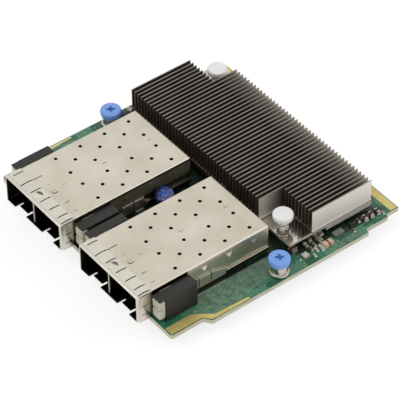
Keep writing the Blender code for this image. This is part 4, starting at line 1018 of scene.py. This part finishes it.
# %% [markdown]
# ## Light pipes
# Beside every cage stands a black holder. A clear pipe in it takes the light of a small lamp on
# the board to the front, where it shows as two rounded faces above each other. The pipe is one
# moulding, so its two lobes are blocks with very round edges that share a thin web.
# %% Light pipes
for place in ("right_1", "right_2", "left_1", "left_2"):
    low, high = box_mm(f"light_pipe_{place}")
    work = bmesh.new()
    for inset, y0, z0, y1, z1, soften, steps in (
        (0.12, 4.95, 1.42, 7.2, 4.85, 0.6, 4), (0.12, 4.95, 5.12, 7.2, 8.55, 0.6, 4),
        (0.3, 5.7, 2.0, 7.2, 8.0, 0.1, 2), (1.3, 7.1, 5.95, 16.1, 7.35, 0.2, 2),
    ):
        corners = at(low.x + inset, y0, z0), at(high.x - inset, y1, z1)
        block(work, *corners, soften=soften, steps=steps)
    show(f"pipe_{place}", work, ["clear_acrylic"], f"light_pipe_{place}", mend=False)
    dress(f"light_pipe_holder_{place}", "black_plastic")
    dress(f"light_{place}", "ivory_plastic")

# %% [markdown]
# On its cage side each holder has a deep slot along the top. A thin black sheet on the top is its
# painted shade, and a thin pale gold strip in it is a painted highlight where the edge of the cage's
# sheet catches a little light. The tall flap of the left cage gets a pale strip along its upper edge
# in the gap, as a painted highlight.
# %% Slots and bright edges
slots = bmesh.new()
bright = bmesh.new()
for place, inward in (("right_2", 1), ("left_2", 1), ("right_1", -1), ("left_1", -1)):
    low, high = box_mm(f"light_pipe_holder_{place}")
    edge = low.x if inward > 0 else high.x
    # painted shade: a thin black sheet on the holder's top for its slot
    block(slots, at(edge, 7.6, 9.26), at(edge + inward * 0.75, 18.6, 9.32))
    # painted highlight: a thin pale gold strip where the edge of the cage's sheet catches light
    block(bright, at(edge + inward * 0.3, 7.6, 9.3), at(edge + inward * 0.38, 11.7, 9.35))
show("holder_slot_shade", slots, ["painted_slot_shade"])
# painted highlight: a pale strip along the upper edge of the left cage's flap
for start, end in ((22.9, 26.95), (27.45, 31.0)):
    block(bright, at(-4.85, start, 4.5), at(-4.6, end, 5.05), finish=1)
show("painted_highlight_edges", bright, ["painted_highlight_gold", "ceramic_pale"])

# %% [markdown]
# ## Solids that keep their shape
# The board, the heatsink, the dividers, the connectors and the controller are exact enough as
# solids. They only get a finish. Deep in each port the connector's two rows of gold contacts are
# added, as one small block for each contact.
# %% Dress the solids
dress("circuit_board", "printed_board")
dress("heatsink", "extruded_aluminium")
dress("controller", "chip_black")
dress("thermal_pad", "pad_grey")
dress("board_connector", "black_plastic")
SLOT_FACES = (3.42, 4.66)
CONTACTS = 10
CONTACT_PITCH = 0.8
contacts = bmesh.new()
for side in CAGES:
    for port in (1, 2):
        connector = f"edge_connector_{side}_{port}"
        dress(connector, "black_plastic")
        low, high = box_mm(connector)
        for row in range(CONTACTS):
            x = (low.x + high.x) / 2 + (row - (CONTACTS - 1) / 2) * CONTACT_PITCH
            for z in SLOT_FACES:
                block(contacts, at(x - 0.12, low.y + 0.4, z), at(x + 0.12, low.y + 2.6, z + 0.12))
show("edge_contacts", contacts, ["gold"])
print("dressed")

# %% [markdown]
# The rear notch ends one fin sooner than the front one. That fin is a block on the base, at the
# pitch of the others.
# %% Fin beside the rear pin
FIN_PITCH = 1.61
FIN_THICKNESS = 0.35
low, high = box_mm("heatsink")
fin = bmesh.new()
fin_x = low.x + 0.25 + 8 * FIN_PITCH
block(fin, at(fin_x, high.y - 8.8, 3.9), at(fin_x + FIN_THICKNESS, high.y, 11.9))
show("rear_notch_fin", fin, ["extruded_aluminium"])

# %% [markdown]
# ## Gold strips
# Bare gold-plated strips run along the front corners and the rear edge, where the card touches
# the metal of its host. They are flat outlines, extruded to a hair's thickness on the board.
# %% Gold strips
def flat_piece(work, points, height, finish=0):
    raised(work, [at(x, y, 0.0) for x, y in points], mm(0.0, 0.0, height), finish)


def mirrored(points):
    return [(-x, y) for x, y in reversed(points)]


def strip(x0, y0, x1, y1):
    return [(x0, y0), (x1, y0), (x1, y1), (x0, y1)]


work = bmesh.new()
corner = (
    (40.1, 5.2), (43.2, 5.2), (43.3, 16.6), (45.6, 18.5), (45.7, 32.5), (45.0, 32.5), (44.3, 20.4),
    (42.8, 18.45), (40.1, 14.5),
)
flat_piece(work, corner, 0.04)
# the left corner's strip is paler gold, as a painted highlight
flat_piece(work, mirrored(corner), 0.04, 1)
flat_piece(work, strip(-42.8, 89.7, 42.8, 92.3), 0.04)
show("gold_strips", work, ["gold", "painted_highlight_gold"])

# %% [markdown]
# Beside the right cage the varnish lies over plain copper and looks lighter, and a thin bare line
# runs along it. In the shade of the cages, among the parts beside the heatsink and below it, the
# board is painted nearly black as painted shade. The same areas are laid on the left, mirrored. All
# of them are flat outlines a hair above the board.
# %% Areas of the board
copper_areas = (
    [(35.15, 19.2), (42.3, 19.2), (44.0, 21.4), (44.5, 31.6), (42.9, 33.4), (42.5, 42.4), (39.4, 43.2),
     (38.6, 45.0), (38.6, 48.8), (35.15, 48.8)],
    [(44.2, 66.0), (45.7, 66.0), (45.7, 76.4), (42.9, 76.4), (43.4, 70.5)],
)
painted_shade_areas = (
    strip(33.4, 19.0, 35.1, 49.5), strip(5.0, 49.5, 39.2, 56.4), strip(38.75, 67.3, 40.2, 88.0),
    strip(39.2, 54.6, 40.2, 56.4), strip(38.75, 56.4, 41.6, 63.6), strip(40.2, 72.0, 41.9, 88.0),
    strip(38.75, 63.6, 41.4, 67.3), strip(40.2, 68.6, 41.0, 72.0), strip(32.0, 56.4, 38.75, 86.4),
)
copper = bmesh.new()
dark = bmesh.new()
lines = bmesh.new()
for on_side in (list, mirrored):
    for area in copper_areas:
        flat_piece(copper, on_side(area), 0.02)
    for area in painted_shade_areas:
        flat_piece(dark, on_side(area), 0.015)
    flat_piece(lines, on_side(strip(35.15, 19.4, 35.33, 46.4)), 0.03)
    flat_piece(lines, on_side(strip(39.45, 15.9, 40.45, 16.9)), 0.06)
# painted shade in the gap between the cages
flat_piece(dark, strip(-7.0, 5.0, 7.0, 49.5), 0.015)
flat_piece(dark, strip(-5.0, 49.5, 5.0, 56.4), 0.015)
show("copper_areas", copper, ["copper_varnish"])
show("painted_shade_areas", dark, ["painted_shade_varnish"])
show("bare_lines", lines, ["tin"])

# %% [markdown]
# ## Soldered parts
# Ceramic capacitors and resistors are small blocks with tinned ends that sit in a little solder.
# Chips have gull-wing leads on two sides. A helper builds each kind, so every part on the board is
# one line: where it lies, how big it is, and what it is made of.
# %% Small parts
def chip_part(x, y, length, width, height, along_y=False, share=0.24):
    """A ceramic part: a body between two tinned ends, with a fillet of solder at each."""
    work = bmesh.new()
    along, across = (width, length) if along_y else (length, width)
    end, side = along / 2, across / 2
    cap = along * share
    body_end = end - cap * 0.6
    block(work, mm(-body_end, -side + 0.03, 0.08), mm(body_end, side - 0.03, height - 0.04), 0, 0.08)
    for sign in (-1, 1):
        inner = sign * (end - cap)
        outer = sign * (end + 0.25)
        block(work, mm(inner, -side, 0.05), mm(sign * end, side, height), 1, 0.12)
        solder = block(work, mm(inner, -side - 0.08, 0.0), mm(outer, side + 0.08, height * 0.35), 1)
        for vert in solder:
            if vert.co.z > 0.05 * MM:
                vert.co.x -= sign * 0.2 * MM
                vert.co.y *= 0.9
    move(work, Matrix.Translation(at(x, y, 0.02)) @ turn(90 if along_y else 0, "Z"))
    return work


def leaded_chip(x, y, length, width, height, leads):
    """A chip with its leads along Y: a body, and small feet on both of its long sides."""
    work = bmesh.new()
    side = length / 2
    block(work, mm(-width / 2, -side + 0.25, 0.12), mm(width / 2, side - 0.25, height), 0, 0.1)
    for index in range(leads):
        place = (index - (leads - 1) / 2) * width / leads
        for sign in (-1, 1):
            inner, outer = sign * (side - 0.3), sign * (side + 0.15)
            block(work, mm(place - 0.1, inner, 0.02), mm(place + 0.1, outer, 0.32), 1, 0.05, 1)
    move(work, Matrix.Translation(at(x, y, 0.0)) @ turn(90, "Z"))
    return work


def place_of(name):
    """The middle of a solid in X and Y, and its three sizes."""
    low, high = box_mm(name)
    return (*((low + high) / 2).xy, *(high - low))


PARTS = {
    "inductor": ("ceramic_red", "tin"),
    "resistor": ("ceramic_pale", "tin"),
    "capacitor_1": ("ceramic_red", "ceramic_pink"),
    "capacitor_2": ("ceramic_brown", "tin"),
    "capacitor_3": ("ivory_plastic", "tin"),
    "capacitor_4": ("ivory_plastic", "tin"),
    "capacitor_5": ("dark_ceramic", "ceramic_pale"),
    "capacitor_6": ("dark_ceramic", "ceramic_pale"),
    # the ends of the two parts in the gap are dull grey instead of tin, as painted shade
    "gap_inductor": ("chip_black", "chip_grey"),
    "gap_capacitor": ("ceramic_brown", "chip_grey"),
    "left_capacitor": ("ceramic_tan", "tin"),
}
ALONG_Y = ("capacitor_1", "gap_capacitor")
CHIPS = {"power_chip": "chip_grey", "driver_chip": "ceramic_pale", "left_chip": "chip_black"}
for name, (ceramic, ends) in PARTS.items():
    part = chip_part(*place_of(name), name in ALONG_Y, 0.4 if name == "capacitor_1" else 0.24)
    show(f"{name}_part", part, [ceramic, ends], name)
for name, ceramic in CHIPS.items():
    show(f"{name}_part", leaded_chip(*place_of(name), 4), [ceramic, "tin"], name)

# %% [markdown]
# Smaller parts fill the strip beside the heatsink. They only give the board its crowded look, so
# one table lists them, each kind becomes one mesh, and the left side gets the same parts,
# mirrored. Two small chips with leads stand among them.
# %% Crowd of small parts
CROWD = {  # x, y, length, width, height
    "ceramic_pale": ((42.3, 62.6, 2.2, 1.0, 0.8), (38.4, 59.6, 1.9, 1.0, 0.8), (43.6, 59.0, 1.2, 0.7, 0.5)),
    "ceramic_olive": ((39.6, 64.2, 1.9, 1.7, 1.0), (41.2, 63.9, 1.1, 0.7, 0.5)),
    "dark_ceramic": ((40.9, 85.9, 1.9, 1.2, 1.2), (40.3, 78.9, 1.2, 0.8, 0.7)),
    "ceramic_tan": ((42.2, 87.2, 1.0, 0.6, 0.5),),
    "ceramic_brown": ((41.0, 59.9, 1.2, 0.8, 0.7), (40.3, 61.6, 1.5, 0.9, 0.8), (36.9, 66.9, 1.0, 0.7, 0.7)),
    "chip_black": ((42.6, 75.2, 1.0, 0.5, 0.4), (41.9, 54.4, 1.0, 0.5, 0.4)),
}
for ceramic, places in CROWD.items():
    work = bmesh.new()
    for x, y, *size in places:
        for side in (1, -1):
            add_to(work, chip_part(side * x, y, *size))
    show(f"crowd_{ceramic}", work, [ceramic, "tin"])
chips = bmesh.new()
for side in (1, -1):
    add_to(chips, leaded_chip(side * 40.4, 76.6, 1.5, 2.4, 0.9, 3))
show("crowd_small_chips", chips, ["chip_black", "chip_grey"])
